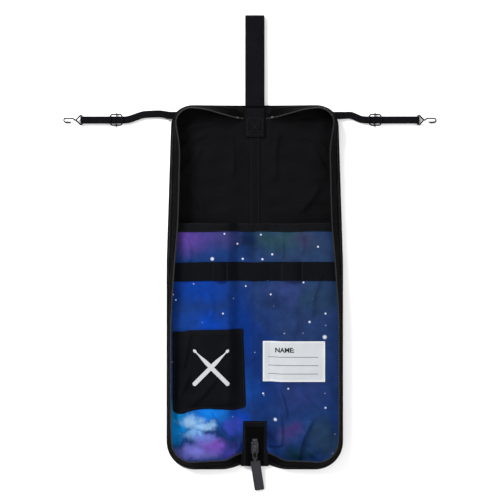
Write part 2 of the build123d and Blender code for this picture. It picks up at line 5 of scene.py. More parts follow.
import bpy
import numpy as np
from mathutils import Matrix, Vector


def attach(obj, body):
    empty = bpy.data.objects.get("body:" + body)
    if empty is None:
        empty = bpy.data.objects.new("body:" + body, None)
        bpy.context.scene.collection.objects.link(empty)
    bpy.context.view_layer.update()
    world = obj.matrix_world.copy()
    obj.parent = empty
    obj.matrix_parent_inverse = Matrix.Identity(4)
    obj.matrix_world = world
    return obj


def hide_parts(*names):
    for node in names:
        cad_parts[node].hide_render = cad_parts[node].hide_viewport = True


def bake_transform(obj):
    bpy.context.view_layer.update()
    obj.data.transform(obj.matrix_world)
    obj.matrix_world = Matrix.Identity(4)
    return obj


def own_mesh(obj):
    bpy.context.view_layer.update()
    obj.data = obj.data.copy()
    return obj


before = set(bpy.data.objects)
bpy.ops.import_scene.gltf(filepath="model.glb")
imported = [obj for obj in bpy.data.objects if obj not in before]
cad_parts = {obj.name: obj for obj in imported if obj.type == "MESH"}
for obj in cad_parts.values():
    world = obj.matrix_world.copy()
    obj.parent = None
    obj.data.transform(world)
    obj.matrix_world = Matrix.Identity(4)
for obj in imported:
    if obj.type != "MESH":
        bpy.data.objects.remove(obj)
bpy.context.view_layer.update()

MM = 0.001
SIDES = {"left": -1, "right": 1}


# ---------------------------------------------------------------- camera, floor and light
# The open bag lies on white paper and is seen from straight above. One large softbox from the
# upper left, a weaker one from the right and an even white surround light it softly.

VIEW_CENTRE = (-6.4 * MM, 47.7 * MM)
VIEW_WIDTH = 663.0 * MM
LENS = 85.0
SENSOR = 36.0
BAG_MIDDLE_Z = 3.0 * MM
SURROUND_LIGHT = 0.80
PAPER_WHITE = (0.95, 0.95, 0.95, 1.0)

camera_data = bpy.data.cameras.new("camera")
camera_data.lens = LENS
camera_data.sensor_width = SENSOR
camera = bpy.data.objects.new("camera", camera_data)
camera.location = (*VIEW_CENTRE, VIEW_WIDTH * LENS / SENSOR + BAG_MIDDLE_Z)
bpy.context.scene.collection.objects.link(camera)
bpy.context.scene.camera = camera


def softbox(name, place, size, power):
    """A square area light at place, facing the middle of the bag."""
    light = bpy.data.lights.new(name, "AREA")
    light.size = size
    light.energy = power
    lamp = bpy.data.objects.new(name, light)
    lamp.location = place
    lamp.rotation_euler = (-Vector(place)).to_track_quat("-Z", "Y").to_euler()
    bpy.context.scene.collection.objects.link(lamp)


softbox("key_light", (-1.2, 1.2, 1.3), 0.8, 66.0)
softbox("fill_light", (1.3, -0.4, 1.5), 1.2, 16.0)

world = bpy.data.worlds.new("white_surround")
world.use_nodes = True
surround = world.node_tree.nodes["Background"]
surround.inputs["Color"].default_value = (1.0, 1.0, 1.0, 1.0)
surround.inputs["Strength"].default_value = SURROUND_LIGHT
bpy.context.scene.world = world
bpy.context.scene.view_settings.view_transform = "Standard"

FLOOR_HALF = 4.0
floor_mesh = bpy.data.meshes.new("floor")
floor_mesh.from_pydata(
    [(-FLOOR_HALF, -FLOOR_HALF, 0.0), (FLOOR_HALF, -FLOOR_HALF, 0.0),
     (FLOOR_HALF, FLOOR_HALF, 0.0), (-FLOOR_HALF, FLOOR_HALF, 0.0)],
    [], [(0, 1, 2, 3)],
)
floor = bpy.data.objects.new("floor", floor_mesh)
bpy.context.scene.collection.objects.link(floor)
floor_paper = bpy.data.materials.new("white_paper")
floor_paper.use_nodes = True
floor_shader = floor_paper.node_tree.nodes["Principled BSDF"]
floor_shader.inputs["Base Color"].default_value = PAPER_WHITE
floor_shader.inputs["Roughness"].default_value = 1.0
floor_shader.inputs["Specular IOR Level"].default_value = 0.0
floor_mesh.materials.append(floor_paper)


# ---------------------------------------------------------------- outer shell
# The back of the bag: printed polyester, one panel for each half, sewn together along the middle
# of the spine. It bends round the two long edges of the spine's foam when the bag closes.

SPINE_X = 20.0
FLOOR_Z = 4.6
SHELL_THICKNESS = 0.7
SHELL_INSET = 0.9
SHELL_PUFF = 0.22  # half of how far the cloth lifts off the floor, unevenly
EDGE_CORNERS = [(0.0, -236.5), (17.0, -236.8), (36.0, -243.3), (117.0, -243.6),
                (117.0, 30.0), (110.4, 240.2), (0.0, 239.2)]
EDGE_RADII = [30.0, 60.0, 37.0, 600.0, 29.0]


def smooth(value):
    """0 below 0, 1 above 1, and an even S between them."""
    value = np.clip(value, 0.0, 1.0)
    return value * value * (3.0 - 2.0 * value)


def along(line):
    """How far each point of a line is from its start, measured along it."""
    steps = np.linalg.norm(np.diff(line, axis=0), axis=1)
    return np.concatenate([[0.0], np.cumsum(steps)])


def spread(line, count):
    """A line again, as count points spaced evenly by length."""
    length = along(line)
    even = np.linspace(0.0, length[-1], count)
    return np.stack([np.interp(even, length, line[:, k]) for k in range(line.shape[1])], axis=1)


def rounded(corners, radii):
    """A line through corners, each inner one replaced by an arc of its radius: the arc's centre
    lies on the corner's bisector, and the arc turns as far as the two runs do."""
    corners = np.array(corners, float)
    line = [corners[:1]]
    for before, corner, after, radius in zip(corners, corners[1:], corners[2:], radii):
        back = (before - corner) / np.linalg.norm(before - corner)
        on = (after - corner) / np.linalg.norm(after - corner)
        half_angle = 0.5 * math.acos(np.clip(back @ on, -1.0, 1.0))
        middle = (back + on) / np.linalg.norm(back + on)
        across = (on - back) / np.linalg.norm(on - back)
        centre = corner + middle * radius / math.sin(half_angle)
        turn = np.linspace(half_angle - math.pi / 2, math.pi / 2 - half_angle, 15)[:, None]
        line.append(centre + radius * (np.sin(turn) * across - np.cos(turn) * middle))
    line.append(corners[-1:])
    return np.concatenate(line)


def edge_line(inset, count=350):
    """The right half's outline, from the middle of the spine's foot round to the middle of its
    head, moved inwards by inset: one number, or one for each point."""
    line = spread(rounded(EDGE_CORNERS, EDGE_RADII), count)
    ahead = np.gradient(line, axis=0)
    ahead /= np.linalg.norm(ahead, axis=1)[:, None]
    inwards = np.stack([-ahead[:, 1], ahead[:, 0]], axis=1)
    return line + inwards * np.broadcast_to(inset, count)[:, None]


def edge_at(y, inset):
    """Where the right half's straight side lies at height y, moved inwards by inset."""
    return np.interp(y, [-200.0, 30.0, 210.0], [117.0, 117.0, 111.35]) - inset


def half_plan(inset, rows, columns, inner=0.0, top=None):
    """Plan points over the right half, from inner out to the outline moved inwards by inset, and
    up to top. The patch between four edges: the two surfaces ruled between facing edges, added,
    less the one through the four corners. The outer edges meet in the middle of each corner."""
    edge = edge_line(inset).copy()
    foot = int(np.argmax(edge[:, 0] - edge[:, 1]))
    bottom = edge[:foot + 1]
    bottom = bottom[bottom[:, 0] >= inner]
    bottom = np.vstack([[inner, np.interp(inner, bottom[:, 0], bottom[:, 1])], bottom])
    if top is None:
        head = int(np.argmax(edge[:, 0] + edge[:, 1]))
        over = edge[head:][::-1]
        over = over[over[:, 0] >= inner]
        over = np.vstack([[inner, np.interp(inner, over[:, 0], over[:, 1])], over])
        outer = edge[foot:head + 1]
    else:
        outer = edge[foot:foot + int(np.argmax(edge[foot:, 1] > top)) + 1]
        outer[-1] = (np.interp(top, outer[:, 1], outer[:, 0]), top)
        over = np.array([[inner, top], outer[-1]])
    inner_line = np.array([bottom[0], over[0]])
    low, high = spread(bottom, columns)[None], spread(over, columns)[None]
    near, far = spread(inner_line, rows)[:, None], spread(outer, rows)[:, None]
    u = np.linspace(0.0, 1.0, columns)[None, :, None]
    v = np.linspace(0.0, 1.0, rows)[:, None, None]
    corners = ((1 - u) * (1 - v) * low[:, :1] + u * (1 - v) * low[:, -1:]
               + (1 - u) * v * high[:, :1] + u * v * high[:, -1:])
    return (1 - v) * low + v * high + (1 - u) * near + u * far - corners


def on_side(side, grid):
    """A grid drawn for the right half, or its mirror image for the left one. The columns (or the
    points of a line) change order too, so that faces still look the same way."""
    if SIDES[side] > 0:
        return grid
    mirror = np.ones(grid.shape[-1])
    mirror[0] = -1.0
    flipped = grid * mirror
    return flipped[:, ::-1] if grid.ndim == 3 else flipped[::-1]


def ripple(x, y, wave, seed):
    """Soft unevenness from -1 to 1: six sine waves in directions and phases drawn from seed,
    about wave millimetres long, added and evened out."""
    draw = np.random.default_rng(seed)
    angle = draw.uniform(0.0, math.pi, 6)
    phase = draw.uniform(0.0, 2.0 * math.pi, 6)
    number = 2.0 * math.pi / (wave * draw.uniform(0.7, 1.6, 6))
    total = sum(np.sin(k * (x * math.cos(a) + y * math.sin(a)) + p)
                for a, p, k in zip(angle, phase, number))
    return np.tanh(total / 2.4)


def put_mesh(name, points, faces, cut, crisp=40.0):
    """A mesh object from points in mm, faces and each point's place in the flat cloth, in mm.
    Edges sharper than crisp degrees stay sharp."""
    mesh = bpy.data.meshes.new(name)
    mesh.from_pydata((np.asarray(points) * MM).tolist(), [], faces, shade_flat=False)
    layer = mesh.uv_layers.new(name="cut")
    corner = np.empty(len(mesh.loops), int)
    mesh.loops.foreach_get("vertex_index", corner)
    layer.uv.foreach_set("vector", (np.asarray(cut)[corner] * MM).astype(np.float32).ravel())
    mesh.set_sharp_from_angle(angle=math.radians(crisp))
    piece = bpy.data.objects.new(name, mesh)
    bpy.context.scene.collection.objects.link(piece)
    return piece


def cloth(name, surface, thickness, cut=None):
    """A sheet with two faces and closed edges. Its upper face is a grid of points; its lower face
    lies thickness away, against the cross product of the grid's two directions; a strip of faces
    joins them round the rim. The flat cloth is measured along the grid unless cut gives it."""
    rows, columns = surface.shape[:2]
    normal = np.cross(np.gradient(surface, axis=1), np.gradient(surface, axis=0))
    normal /= np.linalg.norm(normal, axis=2)[..., None] + 1e-12
    if cut is None:
        across = np.linalg.norm(np.diff(surface, axis=1), axis=2).mean(axis=0)
        up = np.linalg.norm(np.diff(surface, axis=0), axis=2).mean(axis=1)
        across = np.concatenate([[0.0], np.cumsum(across)])
        up = np.concatenate([[0.0], np.cumsum(up)])
        cut = np.stack(np.meshgrid(across, up), axis=2)
    points = np.concatenate([surface.reshape(-1, 3), (surface - normal * thickness).reshape(-1, 3)])
    index = np.arange(rows * columns).reshape(rows, columns)
    upper = np.stack([index[:-1, :-1], index[:-1, 1:], index[1:, 1:], index[1:, :-1]], axis=2)
    rim = np.concatenate([index[0, :-1], index[:-1, -1], index[-1, :0:-1], index[:0:-1, 0]])
    after = np.roll(rim, -1)
    below = rows * columns
    sides = np.stack([rim + below, after + below, after, rim], axis=1)
    faces = np.concatenate([upper.reshape(-1, 4), upper.reshape(-1, 4)[:, ::-1] + below, sides])
    flat = np.asarray(cut, float).reshape(-1, 2)
    return put_mesh(name, points, faces.tolist(), np.concatenate([flat, flat]))


def new_node(tree, kind, inputs=None, **settings):
    """Adds a shader node with its settings. Its inputs are numbers or other nodes' outputs."""
    node = tree.nodes.new("ShaderNode" + kind)
    for key, value in settings.items():
        setattr(node, key, value)
    for key, value in (inputs or {}).items():
        if isinstance(value, bpy.types.NodeSocket):
            tree.links.new(value, node.inputs[key])
        else:
            node.inputs[key].default_value = value
    return node


LIT = 0.56


def linear(colour):
    """A colour written as 0 to 255 on a screen, as the light that it stands for, less what the
    studio light, bright enough to wash out the floor's shadows, gives back."""
    share = np.array(colour, float) / 255.0
    light = np.where(share <= 0.04045, share / 12.92, ((share + 0.055) / 1.055) ** 2.4)
    return (*(light * LIT).tolist(), 1.0)


def new_group(name, inputs, outputs):
    """A shader node group: its tree, the node that holds its inputs and the one for its outputs.
    inputs is {name: (socket kind, value)}, and outputs is {name: socket kind}."""
    tree = bpy.data.node_groups.new(name, "ShaderNodeTree")
    for key, (kind, value) in inputs.items():
        socket = tree.interface.new_socket(key, in_out="INPUT", socket_type="NodeSocket" + kind)
        if value is not None:
            socket.default_value = value
    for key, kind in outputs.items():
        tree.interface.new_socket(key, in_out="OUTPUT", socket_type="NodeSocket" + kind)
    return tree, tree.nodes.new("NodeGroupInput"), tree.nodes.new("NodeGroupOutput")


def weave_group():
    """Plain weave. With u and v the place in the cloth, in threads, warp shows where
    sin(pi u) sin(pi v) is positive and weft elsewhere, each as high as |sin| across it."""
    tree, given, result = new_group(
        "plain_weave",
        {"Place": ("Vector", None), "Warp": ("Float", 2200.0), "Weft": ("Float", 2200.0)},
        {"Height": "Float"},
    )
    parts = new_node(tree, "SeparateXYZ", {0: given.outputs["Place"]})
    waves = []
    for axis, threads in (("X", "Warp"), ("Y", "Weft")):
        turns = new_node(tree, "Math", {0: parts.outputs[axis], 1: given.outputs[threads]},
                         operation="MULTIPLY")
        angle = new_node(tree, "Math", {0: turns.outputs[0], 1: math.pi}, operation="MULTIPLY")
        waves.append(new_node(tree, "Math", {0: angle.outputs[0]}, operation="SINE").outputs[0])
    both = new_node(tree, "Math", {0: waves[0], 1: waves[1]}, operation="MULTIPLY").outputs[0]
    over = new_node(tree, "Math", {0: both, 1: 0.0}, operation="GREATER_THAN").outputs[0]
    warp, weft = (new_node(tree, "Math", {0: wave}, operation="ABSOLUTE").outputs[0]
                  for wave in waves)
    shown = new_node(tree, "Mix", {0: over, 2: weft, 3: warp}, data_type="FLOAT")
    tree.links.new(shown.outputs[0], result.inputs["Height"])
    return tree


PLAIN_WEAVE = weave_group()

# Clouds in the print: middle, spread and colour, laid one over the other.
CLOUDS = [
    ((70, 40), (110, 150), (40, 62, 98)), ((60, -80), (90, 130), (35, 57, 104)),
    ((30, 62), (70, 30), (40, 69, 84)), ((8, -110), (34, 100), (14, 46, 112)),
    ((64, 62), (26, 22), (55, 60, 96)), ((45, -5), (40, 30), (46, 62, 118)),
    ((30, -22), (22, 16), (27, 46, 90)), ((85, -20), (34, 34), (36, 60, 92)),
    ((56, -142), (54, 30), (36, 54, 112)), ((42, -192), (22, 26), (54, 62, 118)),
    ((52, -187), (15, 14), (62, 48, 112)), ((22, -200), (17, 34), (8, 26, 74)),
    ((56, -222), (36, 20), (12, 42, 60)), ((86, -196), (34, 40), (34, 60, 88)),
    ((92, -212), (22, 30), (36, 62, 96)),
    ((-10, 60), (24, 34), (10, 32, 70)), ((-45, 62), (34, 24), (62, 62, 122)),
    ((-92, 62), (46, 30), (90, 64, 150)), ((-75, -2), (60, 34), (6, 60, 158)),
    ((-20, -60), (32, 90), (4, 48, 128)), ((-60, -48), (34, 26), (4, 66, 176)),
    ((-95, -50), (30, 30), (20, 66, 152)),
    ((-60, -140), (90, 42), (8, 84, 184)), ((-22, -178), (22, 24), (12, 66, 178)),
    ((-108, -176), (30, 34), (8, 140, 214)), ((-62, -168), (44, 26), (12, 120, 222)),
    ((-106, -192), (24, 30), (4, 138, 222)), ((-84, -176), (21, 12), (156, 204, 245)),
    ((-68, -185), (20, 8), (152, 198, 242)), ((-80, -194), (12, 15), (124, 178, 236)),
    ((-66, -204), (22, 12), (112, 132, 220)), ((-28, -186), (17, 16), (58, 74, 186)),
    ((-76, -221), (42, 15), (122, 120, 214)), ((-104, -225), (26, 13), (100, 108, 204)),
    ((-54, -209), (24, 15), (126, 86, 196)), ((-34, -218), (20, 20), (58, 58, 148)),
    ((-14, -218), (15, 30), (12, 32, 92)),
]
# Bright stars in the print: place and width.
STARS = [
    ((-56, 36), 4.6), ((92, -67), 5.4), ((27, -176), 4.4), ((72, -47), 3.0), ((-16, 36), 2.8),
    ((10, 35.5), 3.0), ((23, 42), 2.8), ((-23, 56), 2.6), ((17, 8.7), 3.6), ((-40, 69), 2.4),
    ((8, 68), 2.4), ((83, 52), 2.6), ((-12, 0), 2.2), ((64, 5), 2.4), ((21, -11), 2.4),
    ((93, -36), 2.6), ((-108, -11), 2.6), ((-104, -18), 2.2), ((-42, -36), 2.4),
    ((11, -142), 2.6), ((44, -135), 2.4), ((36, -230), 2.4), ((93, -160), 2.6),
]
STAR_WHITE = (228, 232, 250)
PRINT_BASE = (24, 56, 118)


def print_group():
    """The print of a night sky. Each cloud's share falls from 1 at its middle to 0 at its spread,
    as an S, in places pushed about by noise, and mixes its colour over what lies below. A star
    is 1 within its width. Small stars are the middles of random cells."""
    tree, given, result = new_group("night_sky_print", {"Place": ("Vector", None)},
                                    {"Colour": "Color"})
    place = given.outputs["Place"]
    drift = new_node(tree, "TexNoise", {"Vector": place, "Scale": 22.0, "Detail": 5.0,
                                        "Roughness": 0.62})
    push = new_node(tree, "VectorMath", {0: drift.outputs["Color"], 1: (0.5, 0.5, 0.5)},
                    operation="SUBTRACT")
    pushed = new_node(tree, "VectorMath", {0: push.outputs[0], 1: (0.055, 0.040, 0.0), 2: place},
                      operation="MULTIPLY_ADD").outputs[0]
    colour = linear(PRINT_BASE)
    for (x, y), (wide, high), tint in CLOUDS:
        scale = (1.0 / (wide * MM), 1.0 / (high * MM), 0.0)
        away = (-x / wide, -y / high, 0.0)
        local = new_node(tree, "VectorMath", {0: pushed, 1: scale, 2: away},
                         operation="MULTIPLY_ADD")
        reach = new_node(tree, "VectorMath", {0: local.outputs[0]}, operation="LENGTH")
        share = new_node(tree, "MapRange", {0: reach.outputs["Value"], 1: 1.0, 2: 0.15, 3: 0.0,
                                            4: 0.94}, interpolation_type="SMOOTHSTEP")
        mixed = new_node(tree, "Mix", {0: share.outputs[0], 6: colour, 7: linear(tint)},
                         data_type="RGBA")
        colour = mixed.outputs[2]
    mist = new_node(tree, "TexNoise", {"Vector": place, "Scale": 75.0, "Detail": 6.0,
                                       "Roughness": 0.6})
    dim = new_node(tree, "MapRange", {0: mist.outputs[0], 1: 0.3, 2: 0.72, 3: 0.80, 4: 1.22})
    misty = new_node(tree, "VectorMath", {0: colour, 3: dim.outputs[0]}, operation="SCALE")
    brightness = None
    for (x, y), width in STARS:
        gap = new_node(tree, "VectorMath", {0: place, 1: (x * MM, y * MM, 0.0)},
                       operation="DISTANCE")
        dot = new_node(tree, "MapRange", {0: gap.outputs["Value"], 1: 0.62 * width * MM,
                                          2: 0.28 * width * MM, 3: 0.0, 4: 1.0})
        if brightness is None:
            brightness = dot.outputs[0]
        else:
            brightness = new_node(tree, "Math", {0: brightness, 1: dot.outputs[0]},
                                  operation="MAXIMUM").outputs[0]
    cells = new_node(tree, "TexVoronoi", {"Vector": place, "Scale": 75.0, "Randomness": 1.0})
    speck = new_node(tree, "MapRange", {0: cells.outputs["Distance"], 1: 0.085, 2: 0.03, 3: 0.0,
                                        4: 1.0})
    chance = new_node(tree, "SeparateColor", {0: cells.outputs["Color"]})
    lit = new_node(tree, "MapRange", {0: chance.outputs[0], 1: 0.45, 2: 1.0, 3: 0.0, 4: 0.75})
    speck = new_node(tree, "Math", {0: speck.outputs[0], 1: lit.outputs[0]}, operation="MULTIPLY")
    brightness = new_node(tree, "Math", {0: brightness, 1: speck.outputs[0]}, operation="MAXIMUM")
    starry = new_node(tree, "Mix", {0: brightness.outputs[0], 6: misty.outputs[0],
                                    7: linear(STAR_WHITE)}, data_type="RGBA")
    tree.links.new(starry.outputs[2], result.inputs["Colour"])
    return tree


NIGHT_SKY = print_group()


def new_material(name, roughness, specular):
    """A material with its shader's even values set: its tree, its shader and itself."""
    material = bpy.data.materials.new(name)
    material.use_nodes = True
    shader = material.node_tree.nodes["Principled BSDF"]
    shader.inputs["Roughness"].default_value = roughness
    shader.inputs["Specular IOR Level"].default_value = specular
    return material.node_tree, shader, material


def bump(tree, shader, height, depth):
    """Feeds a height from 0 to 1 into the shader's normal, as depth millimetres."""
    raised = new_node(tree, "Bump", {"Strength": 1.0, "Distance": depth * MM, "Height": height})
    tree.links.new(raised.outputs["Normal"], shader.inputs["Normal"])


def printed_polyester(name, moved=(0.0, 0.0, 0.0), turned=0.0):
    """Printed polyester: the night sky over a fine plain weave, with painted shade in the weave's
    hollows and painted highlight on its threads, and slightly uneven gloss.
    """
    tree, shader, material = new_material(name, 0.62, 0.04)
    place = new_node(tree, "UVMap", uv_map="cut").outputs[0]
    slid = new_node(tree, "Mapping", {0: place, "Location": moved, "Rotation": (0.0, 0.0, turned)})
    sky = new_node(tree, "Group", node_tree=NIGHT_SKY)
    tree.links.new(slid.outputs[0], sky.inputs["Place"])
    weave = new_node(tree, "Group", node_tree=PLAIN_WEAVE)
    tree.links.new(place, weave.inputs["Place"])
    # Painted shade and highlight: the weave scales the print, 0.88 in its hollows, 1.06 on its
    # threads.
    thread = new_node(tree, "MapRange", {0: weave.outputs["Height"], 3: 0.88, 4: 1.06})
    tinted = new_node(tree, "VectorMath", {0: sky.outputs["Colour"], 3: thread.outputs[0]},
                      operation="SCALE")
    tree.links.new(tinted.outputs[0], shader.inputs["Base Color"])
    worn = new_node(tree, "TexNoise", {"Vector": place, "Scale": 60.0, "Detail": 3.0})
    gloss = new_node(tree, "MapRange", {0: worn.outputs[0], 3: 0.55, 4: 0.78})
    tree.links.new(gloss.outputs[0], shader.inputs["Roughness"])
    bump(tree, shader, weave.outputs["Height"], 0.06)
    return material


def dress(piece, material):
    """Gives a piece its material."""
    piece.data.materials.clear()
    piece.data.materials.append(material)
    return piece


def bend_at_spine(piece):
    """Bakes the piece's placing into its mesh. The piece crosses the fold between its half of the
    bag and the spine, but is not bent there.
    """
    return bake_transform(piece)


BACK_PRINT_MOVED, BACK_PRINT_TURNED = (0.05, 0.02, 0.0), 2.6
shell_print = printed_polyester("printed_polyester_back", BACK_PRINT_MOVED, BACK_PRINT_TURNED)
for side in SIDES:
    plan = on_side(side, half_plan(SHELL_INSET, 150, 46))
    puff = SHELL_PUFF * (1.0 + ripple(plan[..., 0], plan[..., 1], 70.0, 3))
    outer = np.concatenate([plan, 0.02 + puff[..., None]], axis=2)
    shell = cloth(f"{side}_shell_panel", outer + (0, 0, SHELL_THICKNESS), SHELL_THICKNESS, plan)
    dress(shell, shell_print)
    bend_at_spine(shell)
    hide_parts(f"{side}_shell", "spine_shell")


# ---------------------------------------------------------------- foam
# Three flat pads of closed-cell foam between the shell and the lining, one in each half and a
# narrow one in the spine, held by the seams round them.

FOAM_LOW, FOAM_HIGH = 1.2, 4.0
FOAM_GREY = (58, 60, 64)
# The pores' grey is painted shade in their pits.
PORE_SHADE_GREY = (40, 42, 46)
FOAM_INSET = 2.6
HALF_FOAM_FROM, SPINE_FOAM_HALF = 20.6, 19.4
SPINE_FOAM_FOOT, SPINE_FOAM_HEAD = -235.0, 237.0


def foam_material():
    """Closed-cell foam: dark grey, matt, with fine pores from random cells and painted shade in
    their pits.
    """
    tree, shader, material = new_material("closed_cell_foam", 0.9, 0.1)
    place = new_node(tree, "TexCoord").outputs["Object"]
    pores = new_node(tree, "TexVoronoi", {"Vector": place, "Scale": 1400.0})
    # Painted shade: the pores' pits, low in the bump, are mixed towards the darker pore grey.
    shade = new_node(tree, "Mix", {0: pores.outputs["Distance"], 6: linear(PORE_SHADE_GREY),
                                   7: linear(FOAM_GREY)}, data_type="RGBA")
    tree.links.new(shade.outputs[2], shader.inputs["Base Color"])
    bump(tree, shader, pores.outputs["Distance"], 0.15)
    return material


foam = foam_material()
for side in SIDES:
    plan = on_side(side, half_plan(FOAM_INSET, 120, 34, inner=HALF_FOAM_FROM))
    top = np.concatenate([plan, np.full(plan.shape[:2] + (1,), FOAM_HIGH)], axis=2)
    pad = cloth(f"{side}_foam_pad", top, FOAM_HIGH - FOAM_LOW, plan)
    dress(pad, foam)
    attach(pad, f"{side}_half")
    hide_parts(f"{side}_foam")
x, y = np.meshgrid(np.linspace(-SPINE_FOAM_HALF, SPINE_FOAM_HALF, 14),
                   np.linspace(SPINE_FOAM_FOOT, SPINE_FOAM_HEAD, 120))
pad = cloth("spine_foam_pad", np.stack([x, y, np.full_like(x, FOAM_HIGH)], axis=2),
            FOAM_HIGH - FOAM_LOW)
dress(pad, foam)
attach(pad, "spine")
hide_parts("spine_foam")


# ---------------------------------------------------------------- lining
# Black ripstop nylon over the foam, sewn in at the edge. It shows above the pockets, and it is a
# little loose, so it lies in soft wrinkles that run in from the top corners.

LINING_THICKNESS = 0.3
LINING_INSET = 2.0
WRINKLE_DEPTH, WRINKLE_WIDTH = 2.6, 4.0
LINING_SLACK = 0.9


def crease(x, y, points, width, slow=1.0):
    """A fold along the curve that three points pull: 1 on it, falling as exp(-(distance/width)^2)
    to the left of the way along it and slow times as far to the right, and fading out towards
    its ends. The curve is (1-t)^2 a + 2t(1-t) b + t^2 c."""
    a, b, c = (np.array(point, float) for point in points)
    t = np.linspace(0.0, 1.0, 25)[:, None]
    curve = (1 - t) ** 2 * a + 2 * t * (1 - t) * b + t ** 2 * c
    way = np.gradient(curve, axis=0)
    over_x, over_y = x[..., None] - curve[:, 0], y[..., None] - curve[:, 1]
    reach = np.where(way[:, 0] * over_y > way[:, 1] * over_x, width, slow * width)
    fade = smooth(np.minimum(t, 1.0 - t)[:, 0] * 5.0 + 0.1)
    return np.max(np.exp(-(over_x ** 2 + over_y ** 2) / reach ** 2) * fade, axis=-1)


def fabric(name, colour, lift, pitch, roughness=0.66, specular=0.035, ribbed=True, depth=0.18):
    """Woven synthetic cloth or tape: ribs across its length every pitch millimetres, each
    1 - |cos(pi v / pitch)| high, over a plain weave. Its colour runs from itself to lift, a painted
    highlight, on the raised ribs and threads, and noise makes this painted highlight patchy."""
    tree, shader, material = new_material(name, roughness, specular)
    place = new_node(tree, "UVMap", uv_map="cut").outputs[0]
    parts = new_node(tree, "SeparateXYZ", {0: place})
    angle = new_node(tree, "Math", {0: parts.outputs["Y"], 1: math.pi / (pitch * MM)},
                     operation="MULTIPLY")
    wave = new_node(tree, "Math", {0: angle.outputs[0]}, operation="COSINE")
    rib = new_node(tree, "Math", {0: wave.outputs[0]}, operation="ABSOLUTE")
    rib = new_node(tree, "Math", {0: 1.0, 1: rib.outputs[0]}, operation="SUBTRACT").outputs[0]
    weave = new_node(tree, "Group", node_tree=PLAIN_WEAVE)
    tree.links.new(place, weave.inputs["Place"])
    share = new_node(tree, "Mix", {0: 0.62 if ribbed else 0.15, 2: weave.outputs["Height"], 3: rib},
                     data_type="FLOAT").outputs[0]
    uneven = new_node(tree, "TexNoise", {"Vector": place, "Scale": 35.0, "Detail": 5.0})
    patch = new_node(tree, "MapRange", {0: uneven.outputs[0], 1: 0.3, 2: 0.7, 3: 0.25, 4: 1.0})
    # Painted highlight: raised ribs and threads are mixed towards the lighter colour lift, in
    # patches.
    painted_highlight = new_node(tree, "Math", {0: share, 1: patch.outputs[0]}, operation="MULTIPLY")
    shade = new_node(tree, "Mix", {0: painted_highlight.outputs[0], 6: linear(colour), 7: linear(lift)},
                     data_type="RGBA")
    tree.links.new(shade.outputs[2], shader.inputs["Base Color"])
    gloss = new_node(tree, "MapRange", {0: uneven.outputs[0], 3: roughness - 0.1,
                                        4: roughness + 0.1})
    tree.links.new(gloss.outputs[0], shader.inputs["Roughness"])
    bump(tree, shader, share, depth)
    return material


# Each fabric's second colour is its painted highlight on the raised ribs and threads.
ripstop = fabric("black_ripstop", (10, 10, 12), (24, 24, 27), 1.6, depth=0.3)
WRINKLES = [
    [(-96, 206), (-78, 216), (-52, 214)], [(-100, 178), (-86, 196), (-60, 202)],
    [(-98, 150), (-84, 158), (-70, 186)], [(-60, 226), (-40, 219), (-22, 222)],
    [(-34, 204), (-26, 176), (-30, 140)], [(-88, 128), (-74, 120), (-66, 96)],
    [(96, 206), (80, 218), (50, 216)], [(98, 174), (84, 194), (58, 200)],
    [(97, 146), (86, 162), (74, 190)], [(62, 226), (42, 220), (24, 223)],
    [(32, 206), (24, 178), (28, 138)], [(86, 132), (76, 116), (60, 98)],
]
for side in SIDES:
    plan = on_side(side, half_plan(LINING_INSET, 190, 60))
    x, y = plan[..., 0], plan[..., 1]
    loose = smooth((y - 86.0) / 14.0) * smooth((np.abs(x) - 12.0) / 10.0)
    folds = sum(WRINKLE_DEPTH * crease(x, y, line, WRINKLE_WIDTH) for line in WRINKLES
                if line[1][0] * SIDES[side] > 0)
    rise = loose * (folds + LINING_SLACK * (1.0 + ripple(x, y, 30.0, 11)))
    surface = np.stack([x, y, FLOOR_Z + 0.05 + rise], axis=2)
    lining = cloth(f"{side}_lining_panel", surface, LINING_THICKNESS, plan)
    dress(lining, ripstop)
    bend_at_spine(lining)
    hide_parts(f"{side}_lining", "spine_lining")


# ---------------------------------------------------------------- edge binding
# Woven tape folded round the raw edges of shell, foam and lining, and sewn through. It runs
# round each half, from the middle of the spine's foot to the middle of its head.

BINDING_TALL = 2.8
DULL_SPECULAR = 0.02
BINDING_DEEP = 2.6
BINDING_ROUND = 1.2


def unit(vectors):
    """Each vector at length 1."""
    return vectors / (np.linalg.norm(vectors, axis=-1)[..., None] + 1e-12)


def carried(name, path, profile, up=(0.0, 0.0, 1.0), crisp=50.0):
    """A closed profile carried along a path, with its ends closed. At each point of the path the
    profile's first number goes to the right of the way ahead, and its second one up."""
    count, sides = len(path), len(profile)
    ahead = unit(np.gradient(path, axis=0))
    right = unit(np.cross(ahead, np.broadcast_to(up, path.shape)))
    above = np.cross(right, ahead)
    points = (path[:, None] + right[:, None] * profile[None, :, :1]
              + above[:, None] * profile[None, :, 1:])
    index = np.arange(count * sides).reshape(count, sides)
    after = np.roll(index, -1, axis=1)
    walls = np.stack([index[:-1], after[:-1], after[1:], index[1:]], axis=2).reshape(-1, 4)
    round_it = along(np.vstack([profile, profile[:1]]))[:-1]
    cut = np.stack(np.meshgrid(round_it, along(path)), axis=2)
    faces = walls.tolist() + [index[0, ::-1].tolist(), index[-1].tolist()]
    return put_mesh(name, points.reshape(-1, 3), faces, cut.reshape(-1, 2), crisp)


def soft_box(width, height, radius, around=5):
    """A rectangle's outline with round corners, anticlockwise, as a profile."""
    corner = np.linspace(0.0, math.pi / 2, around)
    quarter = np.stack([np.cos(corner), np.sin(corner)], axis=1) * radius
    turns = [(1, 1, False), (-1, 1, True), (-1, -1, False), (1, -1, True)]
    middle = np.array([width / 2 - radius, height / 2 - radius])
    return np.concatenate([((quarter[::-1] if back else quarter) + middle) * (sx, sy)
                           for sx, sy, back in turns])


